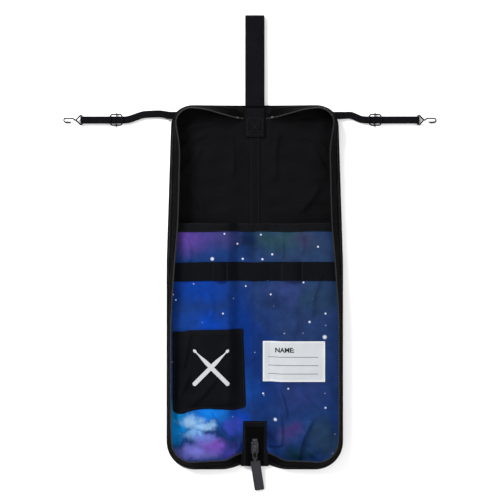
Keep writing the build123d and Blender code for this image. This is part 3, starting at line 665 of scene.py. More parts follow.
def stitches(name, path, out, pitch, length=None, width=0.35):
    """A row of stitches on a path: each is a bead, sin-rounded along its length and round across,
    lying along the path and lifted out by out, the surface's way up."""
    length = length or 0.72 * pitch
    total = along(path)
    places = np.arange(pitch / 2, total[-1], pitch)
    centre = np.stack([np.interp(places, total, path[:, k]) for k in range(3)], axis=1)
    ahead = unit(np.stack([np.interp(places, total, g) for g in np.gradient(path, axis=0).T],
                          axis=1))
    above = unit(np.broadcast_to(np.array(out, float), centre.shape))
    right = np.cross(ahead, above)
    turn = np.linspace(0.0, 2.0 * math.pi, 6, endpoint=False)
    reach = np.array([-0.5, -0.3, 0.3, 0.5])
    thick = np.array([0.25, 1.0, 1.0, 0.25])
    bead = np.stack([np.repeat(reach * length, 6), np.outer(thick, np.cos(turn)).ravel() * width / 2,
                     np.outer(thick, np.sin(turn)).ravel() * width / 2], axis=1)
    index = np.arange(24).reshape(4, 6)
    after = np.roll(index, -1, axis=1)
    walls = np.stack([index[:-1], index[1:], after[1:], after[:-1]], axis=2)
    points = (centre[:, None] + ahead[:, None] * bead[None, :, :1]
              + right[:, None] * bead[None, :, 1:2] + above[:, None] * bead[None, :, 2:])
    step = np.arange(len(centre))[:, None, None] * 24
    faces = (walls.reshape(1, -1, 4)[..., ::-1] + step).reshape(-1, 4).tolist()
    ends = np.stack([index[0], index[-1, ::-1]])[None] + step
    faces += ends[:, :, ::-1].reshape(-1, 6).tolist()
    cut = np.tile(bead[:, :2], (len(centre), 1))
    return put_mesh(name, points.reshape(-1, 3), faces, cut, 80.0)


def thread_material(name, colour):
    """Twisted sewing thread: slanting plies along each stitch, with painted shade in the grooves
    between them.
    """
    tree, shader, material = new_material(name, 0.55, 0.25)
    place = new_node(tree, "UVMap", uv_map="cut").outputs[0]
    twist = new_node(tree, "TexWave", {"Vector": place, "Scale": 900.0, "Distortion": 0.5},
                     bands_direction="DIAGONAL")
    # Painted shade: the grooves between the plies get 0.6 of the thread's colour.
    dark = tuple(0.6 * c for c in colour)
    shade = new_node(tree, "Mix", {0: twist.outputs[1], 6: linear(dark), 7: linear(colour)},
                     data_type="RGBA")
    tree.links.new(shade.outputs[2], shader.inputs["Base Color"])
    bump(tree, shader, twist.outputs[1], 0.05)
    return material


black_thread = thread_material("black_thread", (34, 34, 38))
binding_tape = fabric("woven_binding", (4, 4, 5), (12, 13, 15), 0.9, specular=DULL_SPECULAR)
for side in SIDES:
    line = edge_line(BINDING_DEEP / 2 - 0.1)
    path = on_side(side, np.column_stack([line, np.full(len(line), BINDING_TALL / 2 + 0.1)]))
    binding = carried(f"{side}_binding", path, soft_box(BINDING_DEEP, BINDING_TALL, BINDING_ROUND))
    dress(binding, binding_tape)
    bend_at_spine(binding)
    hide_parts(f"{side}_edge_binding")


# ---------------------------------------------------------------- gusset
# The lower part of the wall round each half: plain black cloth sewn into the edge. With the bag
# open it stands, leans in and bulges a little, since nothing holds its top but the zipper.

WALL_FOOT = 2.4
GUSSET_SHARE = 0.56
COIL_TOP_GAP = 1.7
CLOTH_LAYER = 0.6
# How far in the top of the wall leans: distance along the edge, and inset.
LEAN = [(0, 15), (20, 15), (75, 13.5), (112, 11), (150, 6.4), (305, 6.5), (372, 10.8), (428, 13.8),
        (530, 13.2), (560, 6.2), (598, 5.4), (611, 4.8), (643, 13), (666, 17), (690, 17)]


def closing_height(x):
    """How high the plane stands, over x, in which the two halves meet when the bag is closed."""
    return 23.746 + 0.04366 * np.abs(x)


def wall_top():
    """Along the right half's edge: the inset and the height of the wall's top. Near the spine the
    wall falls to the lining, never higher over the fold than its distance from it."""
    base = edge_line(0.0)
    length = along(base)
    inset = np.interp(length, *np.array(LEAN, float).T)
    inset = np.convolve(np.pad(inset, 8, mode="edge"), np.ones(17) / 17.0, mode="valid")
    top = edge_line(inset)
    room = np.maximum(top[:, 0] - 19.0, 0.0)
    upright = closing_height(top[:, 0]) - COIL_TOP_GAP - FLOOR_Z
    at_head = length > 500.0
    rise = np.where(at_head, 0.62 * room, 1.25 * room)
    height = FLOOR_Z + 0.9 + np.minimum(upright - 0.9, rise)
    soft = np.convolve(np.pad(height, 5, mode="edge"), np.ones(11) / 11.0, mode="valid")
    return inset, np.minimum(soft, height + 0.6)


TOP_INSET, TOP_HEIGHT = wall_top()
WALL_RUN = (edge_line(0.0)[:, 0] > 14.5)


def wall(share, depth=0.0):
    """Points on the right half's wall, outside face, at each share of the way up (0 at the foot,
    1 at the coil), moved inwards by depth: the inset grows as share squared, less a bulge
    of sin(pi share), with soft puckers; the height grows evenly."""
    rows = []
    base = edge_line(0.0)
    length = along(base)
    for part in share:
        puckers = 0.5 * np.sin(math.pi * part) * ripple(length, 40.0 * part, 26.0, 7)
        lean = 0.35 * part + 0.65 * part * part
        inset = 1.6 + (TOP_INSET - 1.6) * lean - 1.5 * math.sin(math.pi * part) + puckers + depth
        height = WALL_FOOT + (TOP_HEIGHT - WALL_FOOT) * part
        rows.append(np.column_stack([edge_line(inset), height])[WALL_RUN])
    return np.stack(rows)


gusset_cloth = fabric("black_gusset_cloth", (4, 4, 5), (12, 12, 15), 0.8,
                      specular=DULL_SPECULAR, ribbed=False)
for side in SIDES:
    surface = on_side(side, wall(np.linspace(0.0, GUSSET_SHARE, 9)))
    piece = cloth(f"{side}_gusset_cloth", surface, CLOTH_LAYER)
    dress(piece, gusset_cloth)
    bend_at_spine(piece)
    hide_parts(f"{side}_gusset")
    row = on_side(side, wall([GUSSET_SHARE - 0.06])[0])
    seam = stitches(f"{side}_gusset_stitches", row, (0.0, 0.0, 1.0), 2.6)
    dress(seam, black_thread)
    bend_at_spine(seam)


# ---------------------------------------------------------------- zipper tapes and coils
# The upper part of the wall: a ribbed zipper tape sewn inside the gusset's top edge, with a coil
# of nylon on its own edge. The last few centimetres hang free, and lie down towards the spine.

TOOTH_PITCH = 2.0
TAPE_INWARDS, COIL_INWARDS = 0.65, 0.9


def ring_of_teeth(path, ahead, up):
    """Coil teeth at the points of a path: each is a bead 2.4 mm tall, 1.2 wide and 1.4 thick, its
    outline an ellipse of eight points. Returns points and faces."""
    levels = np.array([-0.5, -0.34, 0.0, 0.34, 0.5])
    size = np.array([0.45, 0.9, 1.0, 0.9, 0.45])
    turn = np.linspace(0.0, 2.0 * math.pi, 8, endpoint=False)
    wide = np.outer(size, np.cos(turn)).ravel() * 0.62
    thick = np.outer(size, np.sin(turn)).ravel() * 0.7
    tall = np.repeat(levels, 8) * 2.4
    right = np.cross(ahead, up)
    points = (path[:, None] + ahead[:, None] * wide[None, :, None]
              + right[:, None] * thick[None, :, None] + up[:, None] * tall[None, :, None])
    index = np.arange(40).reshape(5, 8)
    after = np.roll(index, -1, axis=1)
    walls = np.stack([index[:-1], index[1:], after[1:], after[:-1]], axis=2).reshape(-1, 4)
    step = np.arange(len(path))[:, None, None] * 40
    faces = (walls[None] + step).reshape(-1, 4).tolist()
    ends = np.stack([index[0], index[-1, ::-1]])[None] + step
    return points.reshape(-1, 3), faces + ends.reshape(-1, 8).tolist()


def coil_material():
    """Nylon coil: half gloss, dulled unevenly by use; noise runs its colour from near black to dark
    grey, partly uneven wear and partly painted grey highlights.
    """
    tree, shader, material = new_material("nylon_coil", 0.42, 0.3)
    place = new_node(tree, "TexCoord").outputs["Object"]
    wear = new_node(tree, "TexNoise", {"Vector": place, "Scale": 160.0, "Detail": 3.0})
    # Partly painted highlights: the lighter grey stands for light caught on the coil, as well as
    # wear.
    shade = new_node(tree, "Mix", {0: wear.outputs[0], 6: linear((14, 14, 16)),
                                   7: linear((48, 49, 52))}, data_type="RGBA")
    tree.links.new(shade.outputs[2], shader.inputs["Base Color"])
    gloss = new_node(tree, "MapRange", {0: wear.outputs[0], 3: 0.34, 4: 0.55})
    tree.links.new(gloss.outputs[0], shader.inputs["Roughness"])
    bump(tree, shader, wear.outputs[0], 0.05)
    return material


zip_tape = fabric("ribbed_zip_tape", (4, 4, 5), (12, 12, 14), 1.3, specular=DULL_SPECULAR,
                  depth=0.3)
nylon_coil = coil_material()
for side in SIDES:
    surface = on_side(side, wall(np.linspace(GUSSET_SHARE - 0.1, 1.0, 9), TAPE_INWARDS))
    tape = cloth(f"{side}_zip_tape", surface, CLOTH_LAYER)
    dress(tape, zip_tape)
    bend_at_spine(tape)
    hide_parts(f"{side}_zipper_tape")
    edge, lower = (on_side(side, wall([share], COIL_INWARDS)[0]) for share in (1.0, 0.9))
    count = int(along(edge)[-1] / TOOTH_PITCH)
    top_line, low_line = spread(edge, count), spread(lower, count)
    ahead = unit(np.gradient(top_line, axis=0))
    up = unit(top_line - low_line)
    up = unit(up - ahead * np.sum(up * ahead, axis=1)[:, None])
    points, faces = ring_of_teeth(top_line + up * 0.2, ahead, up)
    coil = put_mesh(f"{side}_coil", points, faces, points[:, :2], 60.0)
    dress(coil, nylon_coil)
    bend_at_spine(coil)
    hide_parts(f"{side}_zipper_coil")


# ---------------------------------------------------------------- stick pockets
# One printed panel on each half, sewn to the foot of the wall outside, along the bottom and along
# the middle of the spine, and open at the top. It stands off the lining to take the sticks.

PANEL_THICKNESS = 0.35
PANEL_INSET = 2.9 + 0.42 * (TOP_INSET - 1.6)
PANEL_SEAM = 4.0
MOUTH_Y = 80.0
PANEL_FOOT_LOW, PANEL_FOOT_HIGH = 5.3, 15.0
TAIL_HALF = 15.5
TAIL_TOP_Y = -178.7
TAIL_FLAT_Z = 5.05
# Creases in the panels: start, pull and end of each, its width and its depth.
FOLDS = [
    ([(-61, -164), (-46, -188), (-22, -212)], 2.0, 4.4),
    ([(-95, -204), (-104, -213), (-112, -221)], 2.0, 3.0),
    ([(-17, -208), (-23, -219), (-30, -229)], 2.0, 2.2),
    ([(30, -130), (38, -150), (43, -172)], 2.0, 4.2),
    ([(31, -160), (37, -184), (34, -211)], 2.0, 4.4),
    ([(34, -209), (25, -212), (15, -210)], 1.8, 2.4),
    ([(77, -177), (58, -202), (59, -230)], 2.2, 4.8),
    ([(72, -216), (84, -225), (97, -234)], 2.0, 3.8),
    ([(64, -142), (75, -160), (88, -168)], 3.0, 3.0),
    ([(-94, 68), (-82, 50), (-86, 30)], 3.0, 2.2),
    ([(30, 68), (39, 52), (34, 34)], 3.0, 2.2),
    ([(86, 6), (72, -14), (77, -38)], 3.6, 2.6),
    ([(-70, 4), (-52, -16), (-57, -42)], 3.6, 2.4),
    ([(-88, -202), (-97, -186), (-104, -166)], 2.6, 2.4),
    ([(9, 72), (7, -20), (3, -104)], 1.6, 0.8),
    ([(3, -100), (6, -140), (13, -176)], 1.6, 0.8),
    ([(60, 70), (66, 56), (60, 40)], 3.2, 1.8),
    ([(-34, -48), (-30, -90), (-27, -130)], 3.4, 1.6),
    ([(50, -20), (58, -44), (52, -66)], 3.4, 1.8),
]


def edge_gap(x, y):
    """How far a point of the lower bag lies inside the outline: the distance to a box whose
    lower corners are round."""
    corner = 37.0
    over_x = np.abs(x) - (edge_at(y, 0.0) - corner)
    over_y = -y - (243.5 - corner)
    outside = np.hypot(np.maximum(over_x, 0.0), np.maximum(over_y, 0.0))
    return corner - outside - np.minimum(np.maximum(over_x, over_y), 0.0)


def pocket_height(x, y):
    """The height of the pocket panels' faces over the floor. Low on the spine, each rises from
    the fold and from its outer seams as an S to a crown, with ridges at its creases, and is a
    little uneven; under the zipper's tail it lies flat."""
    away = np.abs(x)
    crown = 14.2 + 2.4 * smooth((y + 60.0) / 130.0) - 2.6 * smooth((-185.0 - y) / 50.0)
    seam = 5.55 + 0.8 * np.sin(math.pi * np.clip(away / SPINE_X, 0.0, 1.0))
    rise = smooth((away - SPINE_X + 0.5) / 18.0)
    height = seam + (crown - seam) * rise
    foot = PANEL_FOOT_LOW + (PANEL_FOOT_HIGH - PANEL_FOOT_LOW) * smooth((away - 19.0) / 24.0)
    height = foot + (height - foot) * smooth((edge_gap(x, y) - PANEL_SEAM) / 12.0)
    free = smooth((edge_gap(x, y) - PANEL_SEAM) / 12.0) * smooth((away - 1.0) / 8.0)
    for line, width, depth in FOLDS:
        height = height + free * depth * crease(x, y, line, width, 3.2)
    height = height + free * rise * 0.55 * ripple(x, y, 48.0, 21)
    flat = smooth((TAIL_HALF + 4.0 - away) / 3.0) * smooth((TAIL_TOP_Y + 6.0 - y) / 5.0)
    return height + flat * (TAIL_FLAT_Z - height)


def laid(side, plan, above):
    """A grid drawn in plan for the right half, on its own side, lying above the pocket panels."""
    plan = on_side(side, plan)
    x, y = plan[..., 0], plan[..., 1]
    return np.stack([x, y, pocket_height(x, y) + above], axis=2)


panel_print = printed_polyester("printed_polyester")
for side in SIDES:
    plan = half_plan(PANEL_INSET, 240, 84, top=MOUTH_Y)
    panel = cloth(f"{side}_pocket_panel", laid(side, plan, 0.0), PANEL_THICKNESS,
                  on_side(side, plan))
    dress(panel, panel_print)
    bend_at_spine(panel)
    on_side(side, plan)
    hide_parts(f"{side}_stick_pocket")

SEAM_HALF = 5.0
SEAM_TAPE_Z = 4.95
CENTRE_SEAM_X = 1.7
seam_tape = fabric("black_seam_tape", (8, 8, 10), (20, 20, 23), 0.9)
x, y = np.meshgrid(np.linspace(-SEAM_HALF, SEAM_HALF, 6), np.linspace(-178.0, 76.0, 80))
strip = cloth("pocket_seam_tape", np.stack([x, y, np.full_like(x, SEAM_TAPE_Z)], axis=2),
              0.25)
dress(strip, seam_tape)
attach(strip, "spine")
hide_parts("pocket_seam_strip")
y = np.linspace(TAIL_TOP_Y, MOUTH_Y - 10.0, 120)
for side, sign in SIDES.items():
    x = np.full_like(y, sign * CENTRE_SEAM_X)
    row = np.column_stack([x, y, pocket_height(x, y) + 0.05])
    seam = stitches(f"{side}_centre_stitches", row, (0.0, 0.0, 1.0), 3.0)
    dress(seam, black_thread)
    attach(seam, "spine")


# ---------------------------------------------------------------- pocket hems
# Black tape folded over the top edge of each pocket panel and sewn down. Its lower edge wavers,
# since it is sewn by hand and eye.

HEM_LOW, HEM_HIGH = 71.8, 83.2
HEM_INSET = 7.2
HEM_THICKNESS = 1.5


def strip_plan(low, high, inset, rows, columns):
    """A strip across the right half, from the middle out to the side's line moved in by inset,
    between two heights; low may differ from column to column."""
    share_x, share_y = np.meshgrid(np.linspace(0.0, 1.0, columns), np.linspace(0.0, 1.0, rows))
    y = low + (high - low) * share_y
    return np.stack([edge_at(y, inset) * share_x, y], axis=2)


hem_tape = fabric("black_hem_tape", (10, 11, 14), (26, 27, 32), 0.9)
for side in SIDES:
    columns = 74
    out = np.linspace(0.0, 1.0, columns)
    wave = 0.5 * np.sin(9.0 * out + SIDES[side]) - (1.0 * smooth((out - 0.6) / 0.4)
                                                    if side == "left" else 0.0)
    plan = strip_plan(HEM_LOW + wave, HEM_HIGH + 0.25 * np.sin(11.0 * out), HEM_INSET, 10, columns)
    share = np.linspace(0.0, 1.0, 10)[:, None]
    roll = 0.55 + 0.5 * np.sin(math.pi * np.clip(share, 0.0, 1.0)) ** 0.5
    surface = laid(side, plan, roll)
    hem = cloth(f"{side}_hem", surface, HEM_THICKNESS)
    dress(hem, hem_tape)
    bend_at_spine(hem)
    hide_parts(f"{side}_pocket_hem")
    for row, at in (("low", 1), ("high", 8)):
        line = surface[at] + (0.0, 0.0, 0.05)
        seam = stitches(f"{side}_hem_stitches_{row}", line, (0.0, 0.0, 1.0), 2.8)
        dress(seam, black_thread)
        bend_at_spine(seam)


# ---------------------------------------------------------------- organiser bands
# A band of black webbing across the pockets, sewn down at its ends, at the middle and on both
# sides of one loose loop in each half, which holds a marker or a clip.

BAND_LOW, BAND_HIGH = 7.2, 32.0
BAND_INSET = 6.2
BAND_LIFT = 1.05
BAND_END_X = 106.0
LOOPS = {"left": (37.5, 53.5), "right": (37.0, 61.0)}
LOOP_RISE = {"left": 3.6, "right": 4.2}
band_webbing = fabric("black_band_webbing", (8, 9, 13), (22, 25, 33), 1.1, depth=0.25)
for side, sign in SIDES.items():
    columns = 110
    out = np.linspace(0.0, 1.0, columns)
    dip = -0.8 * smooth(1.0 - out * 6.0) - (1.2 * smooth((out - 0.5) * 2.0) if sign < 0 else 0.0)
    plan = strip_plan(BAND_LOW + dip, BAND_HIGH + dip, BAND_INSET, 14, columns)
    near, far = LOOPS[side]
    through = np.clip((plan[..., 0] - near) / (far - near), 0.0, 1.0)
    above = BAND_LIFT + LOOP_RISE[side] * np.sin(math.pi * through) ** 0.8
    surface = laid(side, plan, 0.0)
    surface[..., 2] += above if sign > 0 else above[:, ::-1]
    band = cloth(f"{side}_band", surface, 0.9)
    dress(band, band_webbing)
    bend_at_spine(band)
    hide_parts(f"{side}_organiser_band")
    for place in (near - 1.2, far + 1.2, BAND_END_X):
        y = np.linspace(BAND_LOW + 1.5, BAND_HIGH - 1.5, 30)
        for offset in (-0.6, 0.6):
            x = np.full_like(y, sign * (place + offset))
            line = np.column_stack([x, y, pocket_height(x, y) + 1.15])
            tack = stitches(f"{side}_band_tack_{place:.0f}_{'in' if offset < 0 else 'out'}", line,
                            (0.0, 0.0, 1.0), 1.6)
            dress(tack, black_thread)
            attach(tack, f"{side}_half")


# ---------------------------------------------------------------- key pocket
# A patch pocket of plain black cloth on the left panel, sewn on three sides and hemmed along its
# open top, with a white printed badge: two crossed drumsticks.

POUCH_LOW_LEFT, POUCH_LOW_RIGHT = (-108.0, -165.5), (-11.5, -161.0)
POUCH_TOP_RIGHT, POUCH_TOP_LEFT = (-15.6, -57.0), (-108.0, -60.5)
POUCH_FULL = 3.8
POUCH_CORNER = 6.0
POUCH_TALL = 104.0
POUCH_FOLDS = [
    ([(-84, -58), (-88, -84), (-95, -112)], 2.0, 2.8),
    ([(-84, -112), (-92, -136), (-106, -156)], 2.2, 3.0),
    ([(-50, -122), (-66, -142), (-84, -158)], 2.4, 3.0),
    ([(-30, -60), (-34, -90), (-28, -124)], 3.6, 1.4),
    ([(-20, -150), (-40, -152), (-58, -160)], 3.0, 1.2),
]


def pouch_plan(share_x, share_y):
    """A point of the key pocket in plan: its four corners, mixed by the two shares, with its lower
    edge in a slack wave, its upper edge stepping down near its left end, and round lower
    corners."""
    u, v = share_x[..., None], share_y[..., None]
    low = (1 - u) * np.array(POUCH_LOW_LEFT) + u * np.array(POUCH_LOW_RIGHT)
    high = (1 - u) * np.array(POUCH_TOP_LEFT) + u * np.array(POUCH_TOP_RIGHT)
    plan = (1 - v) * low + v * high
    wave = (-2.8 * np.exp(-((share_x - 0.07) / 0.10) ** 2)
            + 2.2 * np.exp(-((share_x - 0.42) / 0.2) ** 2)
            - 2.0 * np.exp(-((share_x - 0.9) / 0.12) ** 2))
    step = 1.6 * smooth((share_x - 0.17) / 0.06) * (1.0 - share_x)
    plan[..., 1] += wave * (1.0 - share_y) ** 2 + step * share_y ** 2
    up = np.clip(share_y * POUCH_TALL / POUCH_CORNER, 0.0, 1.0)
    pull = POUCH_CORNER * (1.0 - np.sqrt(1.0 - (1.0 - up) ** 2))
    plan[..., 0] += pull * (1.0 - 2.0 * share_x)
    return plan


def pouch_rise(x, y):
    """How far the key pocket stands off the panel: an S up from three sewn edges, less at the
    open top, with its creases."""
    sides = smooth((x + 108.0) / 16.0) * smooth((-14.0 - x) / 20.0)
    upright = smooth((y + 164.0) / 18.0) * (1.0 - 0.45 * smooth((y + 95.0) / 36.0))
    full = POUCH_FULL * sides * upright
    for line, width, depth in POUCH_FOLDS:
        full = full + sides * depth * crease(x, y, line, width, 3.0)
    return 0.55 + np.maximum(full, 0.0)


pouch_cloth = fabric("black_pouch_cloth", (9, 10, 13), (25, 26, 31), 0.7, ribbed=False)
share_x, share_y = np.meshgrid(np.linspace(0.0, 1.0, 62), np.linspace(0.0, 1.0, 66))
plan = pouch_plan(share_x, share_y)
x, y = plan[..., 0], plan[..., 1]
pouch = cloth("key_pocket", np.stack([x, y, pocket_height(x, y) + pouch_rise(x, y)], axis=2), 0.4,
              plan)
dress(pouch, pouch_cloth)
bend_at_spine(pouch)
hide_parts("left_key_pocket")

share_x, share_y = np.meshgrid(np.linspace(0.0, 1.0, 62), np.linspace(0.935, 1.006, 8))
plan = pouch_plan(share_x, share_y)
x, y = plan[..., 0], plan[..., 1]
roll = 0.55 * np.sin(math.pi * np.linspace(0.02, 0.98, 8)[:, None]) ** 0.5
pouch_hem = cloth("key_pocket_hem",
                  np.stack([x, y, pocket_height(x, y) + pouch_rise(x, y) + roll], axis=2), 0.9)
dress(pouch_hem, hem_tape)
bend_at_spine(pouch_hem)
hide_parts("left_key_pocket_hem")

along_side = np.linspace(0.0, 1.0, 90)
for name, share_x, share_y in (
    ("left", np.full(90, 0.022), along_side * 0.97),
    ("right", np.full(90, 0.978), along_side * 0.97),
    ("low", 0.022 + 0.956 * along_side, np.full(90, 0.02)),
    ("hem", along_side, np.full(90, 0.943)),
):
    plan = pouch_plan(share_x, share_y)
    x, y = plan[:, 0], plan[:, 1]
    line = np.column_stack([x, y, pocket_height(x, y) + pouch_rise(x, y) + 0.08])
    seam = stitches(f"key_pocket_stitches_{name}", line, (0.0, 0.0, 1.0), 2.6)
    dress(seam, black_thread)
    bend_at_spine(seam)


def ink_material(name, colour, rough):
    """Screen ink: even colour, thinner in specks where noise is low."""
    tree, shader, material = new_material(name, rough, 0.15)
    place = new_node(tree, "TexCoord").outputs["Object"]
    grain = new_node(tree, "TexNoise", {"Vector": place, "Scale": 900.0, "Detail": 2.0})
    thin = tuple(0.86 * c for c in colour)
    shade = new_node(tree, "Mix", {0: grain.outputs[0], 6: linear(thin), 7: linear(colour)},
                     data_type="RGBA")
    tree.links.new(shade.outputs[2], shader.inputs["Base Color"])
    bump(tree, shader, grain.outputs[0], 0.02)
    return material


def stick_badge(tip, butt):
    """A drumstick's outline in plan as a grid: its half width along the stick, from the bead,
    through the narrow neck and the taper, to the round butt."""
    tip, butt = np.array(tip), np.array(butt)
    share = np.linspace(0.0, 1.0, 60)
    bead = 1.9 * np.sqrt(np.clip(1.0 - ((share - 0.045) / 0.045) ** 2, 0.0, 1.0))
    shaft = 0.75 + 2.05 * smooth((share - 0.08) / 0.34)
    end = np.sqrt(np.clip(1.0 - ((share - 0.97) / 0.03) ** 2, 0.0, 1.0))
    half = np.where(share < 0.08, np.maximum(bead, 0.02), shaft * np.where(share > 0.97, end, 1.0))
    ahead = (butt - tip) / np.linalg.norm(butt - tip)
    across = np.array([ahead[1], -ahead[0]])
    middle = tip + share[:, None] * (butt - tip)
    return middle[:, None] - across * half[:, None, None] * np.linspace(1, -1, 5)[None, :, None]


# Each stick's tip and butt, and how far its ink lies above the cloth.
BADGE_STICKS = {
    "a": ((-81.0, -83.0), (-34.0, -130.0), 0.34),
    "b": ((-34.0, -83.0), (-81.0, -130.0), 0.42),
}
white_ink = ink_material("white_screen_ink", (226, 228, 230), 0.55)
for name, (tip, butt, lift) in BADGE_STICKS.items():
    plan = stick_badge(tip, butt)
    x, y = plan[..., 0], plan[..., 1]
    surface = np.stack([x, y, pocket_height(x, y) + pouch_rise(x, y) + lift], axis=2)
    if np.cross(np.gradient(surface, axis=1), np.gradient(surface, axis=0))[30, 2, 2] < 0:
        surface = surface[:, ::-1]
    badge = cloth(f"badge_stick_{name}", surface, 0.08)
    dress(badge, white_ink)
    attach(badge, "left_half")


# ---------------------------------------------------------------- name label
# A white woven satin label sewn to the right panel with white thread, with a printed heading and
# three lines to write on.

LABEL_LEFT, LABEL_RIGHT, LABEL_LOW, LABEL_HIGH = 11.0, 92.0, -125.5, -73.0
LABEL_LIFT = 0.45
RULE_FROM, RULE_TO = 18.0, 83.5
RULE_HEIGHTS = (-93.5, -104.5, -115.6)
HEADING_AT = (26.5, -87.2, 0.0)
HEADING_SIZE = 8.6
INK_LIFT = 0.10


def label_height(x, y):
    """The label's face: just above the panel, a little puckered between its stitches."""
    return pocket_height(x, y) + LABEL_LIFT + 0.12 * ripple(x, y, 14.0, 5)


satin = fabric("grey_white_satin", (206, 210, 214), (222, 226, 230), 0.5, roughness=0.45,
               specular=0.15, ribbed=False, depth=0.05)
x, y = np.meshgrid(np.linspace(LABEL_LEFT, LABEL_RIGHT, 82),
                   np.linspace(LABEL_LOW, LABEL_HIGH, 54))
label = cloth("name_label", np.stack([x, y, label_height(x, y)], axis=2), 0.3,
              np.stack([x, y], axis=2))
dress(label, satin)
bend_at_spine(label)
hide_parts("right_name_label")

ring = np.array([[LABEL_LEFT, LABEL_LOW], [LABEL_RIGHT, LABEL_LOW], [LABEL_RIGHT, LABEL_HIGH],
                 [LABEL_LEFT, LABEL_HIGH], [LABEL_LEFT, LABEL_LOW]])
inward = np.array([[1, 1], [-1, 1], [-1, -1], [1, -1], [1, 1]])
plan = np.stack([np.stack([np.interp(np.linspace(0, 4, 241), range(5), (ring + d * inward)[:, k])
                           for k in (0, 1)], axis=1) for d in (-0.4, 0.5, 1.4, 2.3)])
x, y = plan[..., 0], plan[..., 1]
white_satin = fabric("white_satin", (232, 235, 238), (248, 250, 252), 0.6, roughness=0.45,
                     specular=0.15, ribbed=False, depth=0.05)
border = cloth("label_border", np.stack([x, y, label_height(x, y) + 0.22], axis=2), 0.3)
dress(border, white_satin)
bend_at_spine(border)

white_thread = thread_material("white_thread", (214, 218, 222))
row = spread(ring + 1.3 * inward, 240)
line = np.column_stack([row, label_height(row[:, 0], row[:, 1]) + 0.27])
seam = stitches("label_stitches", line, (0.0, 0.0, 1.0), 2.4)
dress(seam, white_thread)
bend_at_spine(seam)

grey_ink = ink_material("grey_screen_ink", (104, 108, 116), 0.6)
dark_ink = ink_material("dark_screen_ink", (30, 32, 38), 0.6)
for number, height in enumerate(RULE_HEIGHTS, 1):
    x, y = np.meshgrid(np.linspace(RULE_FROM, RULE_TO, 80), height + np.linspace(-0.35, 0.35, 3))
    rule = cloth(f"label_line_{number}", np.stack([x, y, label_height(x, y) + INK_LIFT], axis=2),
                 0.06)
    dress(rule, grey_ink)
    bend_at_spine(rule)

lettering = bpy.data.curves.new("heading", "FONT")
lettering.body = "NAME:"
lettering.size = HEADING_SIZE
lettering.offset = 0.24
lettering.extrude = 0.08
lettering.align_x = "LEFT"
heading = bpy.data.objects.new("heading", lettering)
bpy.context.scene.collection.objects.link(heading)
bpy.context.view_layer.update()
shape = bpy.data.meshes.new_from_object(heading)
bpy.data.objects.remove(heading)
letters = np.empty(len(shape.vertices) * 3)
shape.vertices.foreach_get("co", letters)
letters = letters.reshape(-1, 3) + HEADING_AT
letters[:, 2] += label_height(letters[:, 0], letters[:, 1]) + INK_LIFT
shape.vertices.foreach_set("co", (letters * MM).ravel())
heading = bpy.data.objects.new("label_heading", shape)
bpy.context.scene.collection.objects.link(heading)
dress(heading, dark_ink)
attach(heading, "right_half")


# ---------------------------------------------------------------- spine tape and loop anchor
# A strip of tape hides the lining's seam above the pockets. The doubled foot of the carry loop
# is sewn over its top end, with a box and a cross of stitches.

SPINE_TAPE_HALF = 6.2
SPINE_TAPE_FROM, SPINE_TAPE_TO = 78.0, 198.0
x, y = np.meshgrid(np.linspace(-SPINE_TAPE_HALF, SPINE_TAPE_HALF, 9),
                   np.linspace(SPINE_TAPE_FROM, SPINE_TAPE_TO, 90))
crown = 5.55 + 0.25 * np.cos(x / SPINE_TAPE_HALF * math.pi / 2) + 0.12 * ripple(x, y, 30.0, 2)
strip = cloth("spine_tape", np.stack([x, y, crown], axis=2), 0.6)
dress(strip, seam_tape)
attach(strip, "spine")
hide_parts("spine_binding")
for sign in (-1, 1):
    y = np.linspace(79.0, 196.0, 100)
    line = np.column_stack([np.full_like(y, sign * 4.9), y, np.full_like(y, 5.66)])
    seam = stitches(f"spine_tape_stitches_{'left' if sign < 0 else 'right'}", line, (0, 0, 1), 3.0)
    dress(seam, black_thread)
    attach(seam, "spine")

LOOP_WIDTH = 25.6
LOOP_LAYER = 1.3
strap_webbing = fabric("black_strap_webbing", (10, 9, 13), (28, 27, 33), 1.5, depth=0.35)
for name, low, high, z in (("under", 199.0, 240.6, 5.3), ("over", 197.2, 241.4, 6.7)):
    path = np.column_stack([np.zeros(40), np.linspace(low, high, 40), np.full(40, z)])
    foot = carried(f"loop_foot_{name}", path, soft_box(LOOP_WIDTH, LOOP_LAYER, 0.6))
    dress(foot, strap_webbing)
    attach(foot, "spine")
    if name == "over":
        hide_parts("loop_anchor")
LOOP_STITCH_Z = 7.42
box = np.array([[-10, 200, 0], [10, 200, 0], [10, 222, 0], [-10, 222, 0], [-10, 200, 0]], float)
for name, route in (("box", spread(box, 80)), ("cross_a", spread(box[[0, 2]], 20)),
                    ("cross_b", spread(box[[1, 3]], 20))):
    seam = stitches(f"loop_foot_{name}", route + (0.0, 0.0, LOOP_STITCH_Z), (0, 0, 1), 2.4)
    dress(seam, black_thread)
    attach(seam, "spine")


# ---------------------------------------------------------------- carry loop
# A loop of the same webbing, doubled, that lies out beyond the head of the bag. Its two layers
# part a little and turn over at the far end.

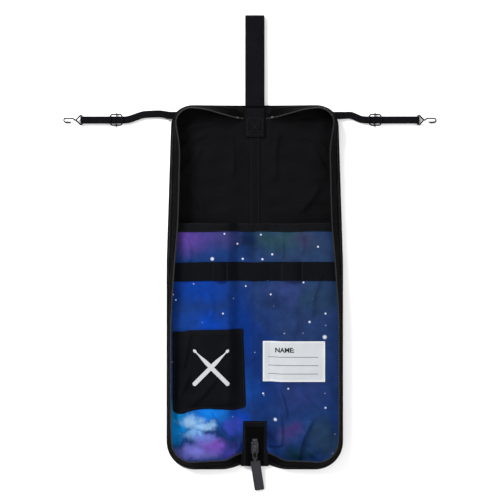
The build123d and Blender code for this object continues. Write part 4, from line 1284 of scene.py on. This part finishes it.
LOOP_END_Y = 359.4
TURN = 2.9
lower_run = np.array([(0.0, 236.0, 5.2), (0.0, 243.0, 4.6), (0.0, 256.0, 1.6), (0.0, 290.0, 1.0),
                      (0.0, LOOP_END_Y - TURN - 3.0, 1.0)])
angle = np.linspace(-math.pi / 2, math.pi / 2, 13)
turn_run = np.column_stack([np.zeros(13), LOOP_END_Y - TURN - 0.7 + TURN * np.cos(angle),
                            1.0 + TURN + TURN * np.sin(angle)])
upper_run = np.array([(0.0, LOOP_END_Y - TURN - 6.0, 6.6), (0.0, 320.0, 6.3), (0.0, 280.0, 7.2),
                      (0.0, 255.0, 7.3), (0.0, 243.0, 6.7), (0.0, 236.0, 6.7)])
run = np.concatenate([lower_run, turn_run, upper_run])
run = spread(run, 260)
for _ in range(6):
    run[1:-1] = (run[:-2] + 2.0 * run[1:-1] + run[2:]) / 4.0
loop = carried("carry_loop_webbing", run, soft_box(LOOP_LAYER, LOOP_WIDTH, 0.6),
               up=(1.0, 0.0, 0.0))
dress(loop, strap_webbing)
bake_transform(loop)
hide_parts("carry_loop")


# ---------------------------------------------------------------- zipper tail
# Where the two zippers meet at the foot of the spine, their closed end is sewn down on a black
# patch, with a metal stop at the end of the coil.

TAIL_FOOT_Y = -238.5
TAIL_PATCH_Z, TAIL_TAPE_Z, TAIL_COIL_Z = 5.68, 6.15, 6.75
x, y = np.meshgrid(np.linspace(-TAIL_HALF, TAIL_HALF, 12),
                   np.linspace(TAIL_FOOT_Y, TAIL_TOP_Y, 40))
x = x * (1.0 + 0.2 * smooth((-214.0 - y) / 10.0))
height = TAIL_PATCH_Z + 0.06 * ripple(x, y, 18.0, 4)
patch = cloth("tail_patch_cloth", np.stack([x, y, height], axis=2), 0.55)
dress(patch, pouch_cloth)
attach(patch, "spine")
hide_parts("tail_patch")
rim = np.array([[-13.8, -237, 5.72], [-13.8, -180.6, 5.72],
                [13.8, -180.6, 5.72], [13.8, -237, 5.72]])
seam = stitches("tail_patch_stitches", spread(rim, 120), (0, 0, 1), 2.4)
dress(seam, black_thread)
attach(seam, "spine")
x, y = np.meshgrid(np.linspace(-11.5, 11.5, 12), np.linspace(-238.0, -186.0, 50))
tape = cloth("tail_zip_tape", np.stack([x, y, np.full_like(x, TAIL_TAPE_Z)], axis=2), 0.4)
dress(tape, zip_tape)
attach(tape, "spine")
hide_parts("tail_tape")
y = np.arange(-236.0, -205.6, TOOTH_PITCH / 2)
sideways = np.where(np.arange(len(y)) % 2 == 0, -0.55, 0.55)
middle = np.column_stack([sideways, y, np.full_like(y, TAIL_COIL_Z)])
ahead = np.tile((0.0, 1.0, 0.0), (len(y), 1))
points, faces = ring_of_teeth(middle, ahead, np.tile((1.0, 0.0, 0.0), (len(y), 1)))
points[:, 2] = TAIL_COIL_Z + (points[:, 2] - TAIL_COIL_Z) * 0.6
points[:, 1] = np.repeat(y, 40) + (points[:, 1] - np.repeat(y, 40)) * 0.7
coil = put_mesh("tail_coil_teeth", points, faces, points[:, :2], 60.0)
dress(coil, nylon_coil)
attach(coil, "spine")
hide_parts("tail_coil")


# ---------------------------------------------------------------- slider, pull and stops
# A die-cast slider with its bridge, a wire link and a rubber grip hung from it, and small pressed
# stops at the ends of the coils. Metal is gunmetal plated; the grip is moulded.


def metal(name, colour, bright, rough):
    """Plated metal: noise runs its colour from plain to bright, as rubbing does, with fine
    scratches in its gloss."""
    tree, shader, material = new_material(name, rough, 0.5)
    shader.inputs["Metallic"].default_value = 1.0
    place = new_node(tree, "TexCoord").outputs["Object"]
    rub = new_node(tree, "TexNoise", {"Vector": place, "Scale": 420.0, "Detail": 4.0})
    share = new_node(tree, "MapRange", {0: rub.outputs[0], 1: 0.35, 2: 0.7})
    shade = new_node(tree, "Mix", {0: share.outputs[0], 6: linear(colour), 7: linear(bright)},
                     data_type="RGBA")
    tree.links.new(shade.outputs[2], shader.inputs["Base Color"])
    scratch = new_node(tree, "TexNoise", {"Vector": place, "Scale": 1500.0, "Detail": 2.0})
    gloss = new_node(tree, "MapRange", {0: scratch.outputs[0], 3: rough - 0.08, 4: rough + 0.12})
    tree.links.new(gloss.outputs[0], shader.inputs["Roughness"])
    bump(tree, shader, scratch.outputs[0], 0.01)
    return material


def moulded_rubber(name, colour, lift):
    """Moulded rubber: matt, with a fine pebbled skin."""
    tree, shader, material = new_material(name, 0.6, 0.3)
    place = new_node(tree, "TexCoord").outputs["Object"]
    skin = new_node(tree, "TexVoronoi", {"Vector": place, "Scale": 1800.0})
    wear = new_node(tree, "TexNoise", {"Vector": place, "Scale": 220.0, "Detail": 4.0})
    shade = new_node(tree, "Mix", {0: wear.outputs[0], 6: linear(colour), 7: linear(lift)},
                     data_type="RGBA")
    tree.links.new(shade.outputs[2], shader.inputs["Base Color"])
    bump(tree, shader, skin.outputs["Distance"], 0.04)
    return material


def redress(node, material):
    """Gives a CAD node its finish."""
    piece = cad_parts[node]
    piece.data.materials.clear()
    piece.data.materials.append(material)


gunmetal = metal("gunmetal", (66, 67, 71), (112, 113, 117), 0.36)
rubber = moulded_rubber("moulded_rubber", (30, 30, 37), (48, 48, 56))
for node in ("slider_body", "slider_bridge", "pull_link", "bottom_stop"):
    redress(node, gunmetal)
redress("pull_grip", rubber)
for side in SIDES:
    edge, lower = (on_side(side, wall([share], COIL_INWARDS)[0]) for share in (1.0, 0.9))
    at = int(np.argmin(np.abs(np.abs(edge[:, 0]) - 24.0) + (edge[:, 1] < 0) * 1000.0))
    path = edge[at - 1:at + 2] + (0.0, 0.0, 0.3)
    path = spread(path[[0, -1]] + (path[-1] - path[0]) * np.array([[0.1], [-0.1]]), 6)
    stop = carried(f"{side}_end_stop", path, soft_box(2.6, 3.0, 0.7))
    dress(stop, gunmetal)
    bend_at_spine(stop)
    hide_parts(f"{side}_top_stop")


# ---------------------------------------------------------------- hanging straps
# A narrow strap at each top corner: one end is held under a tab sewn to the wall, the other runs
# through a bent-wire adjuster and round the bar of a wire hook, and comes back doubled.

STRAP_Z = 3.45
STRAP_WIDTH = 9.4
STRAP_LAYER = 0.9
STRAP_RUN_Y = 220.0
LAYER_APART = 1.0  # from the single layer's middle to each doubled layer's
TURN_X, TURN_Z = 2.0, 1.7
TAB_FROM, TAB_TO, TAB_LOW, TAB_HIGH, TAB_Z = 100.5, 117.4, 221.3, 230.7, 5.0
# Each strap's single layer in plan, where its adjuster and its hook's bar stand, and the share of
# the doubled part that stays as it is while the rest takes up the adjustment.
ROUTES = {
    "right": ([(110.8, 225.8), (116, 226.0), (128, 226.6), (141, 220.4), (152, 220), (208, 220)],
              159.3, 216.0, 0.735),
    "left": ([(110.8, 225.9), (115, 226.5), (125.7, 228.4), (148, 227.4), (168, 220.2), (180, 220),
              (221, 220)], 183.4, 229.0, 0.715),
}
for side, (route, adjuster_x, bar_x, keep) in ROUTES.items():
    sign = SIDES[side]
    plan = np.column_stack([np.array(route, float), np.full(len(route), STRAP_Z)])
    line = spread(plan, 160)
    for _ in range(40):
        line[1:-1] = (line[:-2] + 2.0 * line[1:-1] + line[2:]) / 4.0
    line = on_side(side, line)
    strap = carried(f"{side}_strap_tongue", line, soft_box(STRAP_WIDTH, STRAP_LAYER, 0.4))
    dress(strap, strap_webbing)
    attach(strap, f"{side}_strap")
    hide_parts(f"{side}_strap_webbing")

    angle = np.linspace(-1.9, 1.9, 15)
    turn = np.column_stack([bar_x + TURN_X * np.cos(angle), np.full(15, STRAP_RUN_Y),
                            STRAP_Z + TURN_Z * np.sin(angle)])
    low_z, high_z = STRAP_Z - LAYER_APART, STRAP_Z + LAYER_APART
    out = [(adjuster_x, STRAP_RUN_Y, low_z), (bar_x - 4.0, STRAP_RUN_Y, low_z)]
    back = [(bar_x - 4.0, STRAP_RUN_Y, high_z), (adjuster_x, STRAP_RUN_Y, high_z)]
    line = spread(np.concatenate([out, turn, back]), 150) * (sign, 1.0, 1.0)
    doubled = carried(f"{side}_strap_doubled", line, soft_box(STRAP_LAYER, STRAP_WIDTH, 0.4),
                      up=(0.0, 1.0, 0.0))
    dress(doubled, strap_webbing)
    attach(doubled, f"{side}_strap_end")
    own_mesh(doubled)
    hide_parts(f"{side}_strap_loop")

    x, y = np.meshgrid(np.linspace(TAB_FROM, TAB_TO, 16), np.linspace(TAB_LOW, TAB_HIGH, 10))
    surface = np.stack([x, y, np.full_like(x, TAB_Z)], axis=2)
    tab = cloth(f"{side}_strap_tab", on_side(side, surface), STRAP_LAYER)
    dress(tab, strap_webbing)
    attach(tab, f"{side}_half")
    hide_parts(f"{side}_strap_anchor")

black_wire = metal("black_plated_wire", (16, 16, 17), (38, 38, 41), 0.45)
for side in SIDES:
    redress(f"{side}_strap_adjuster", black_wire)
    redress(f"{side}_strap_hook", black_wire)
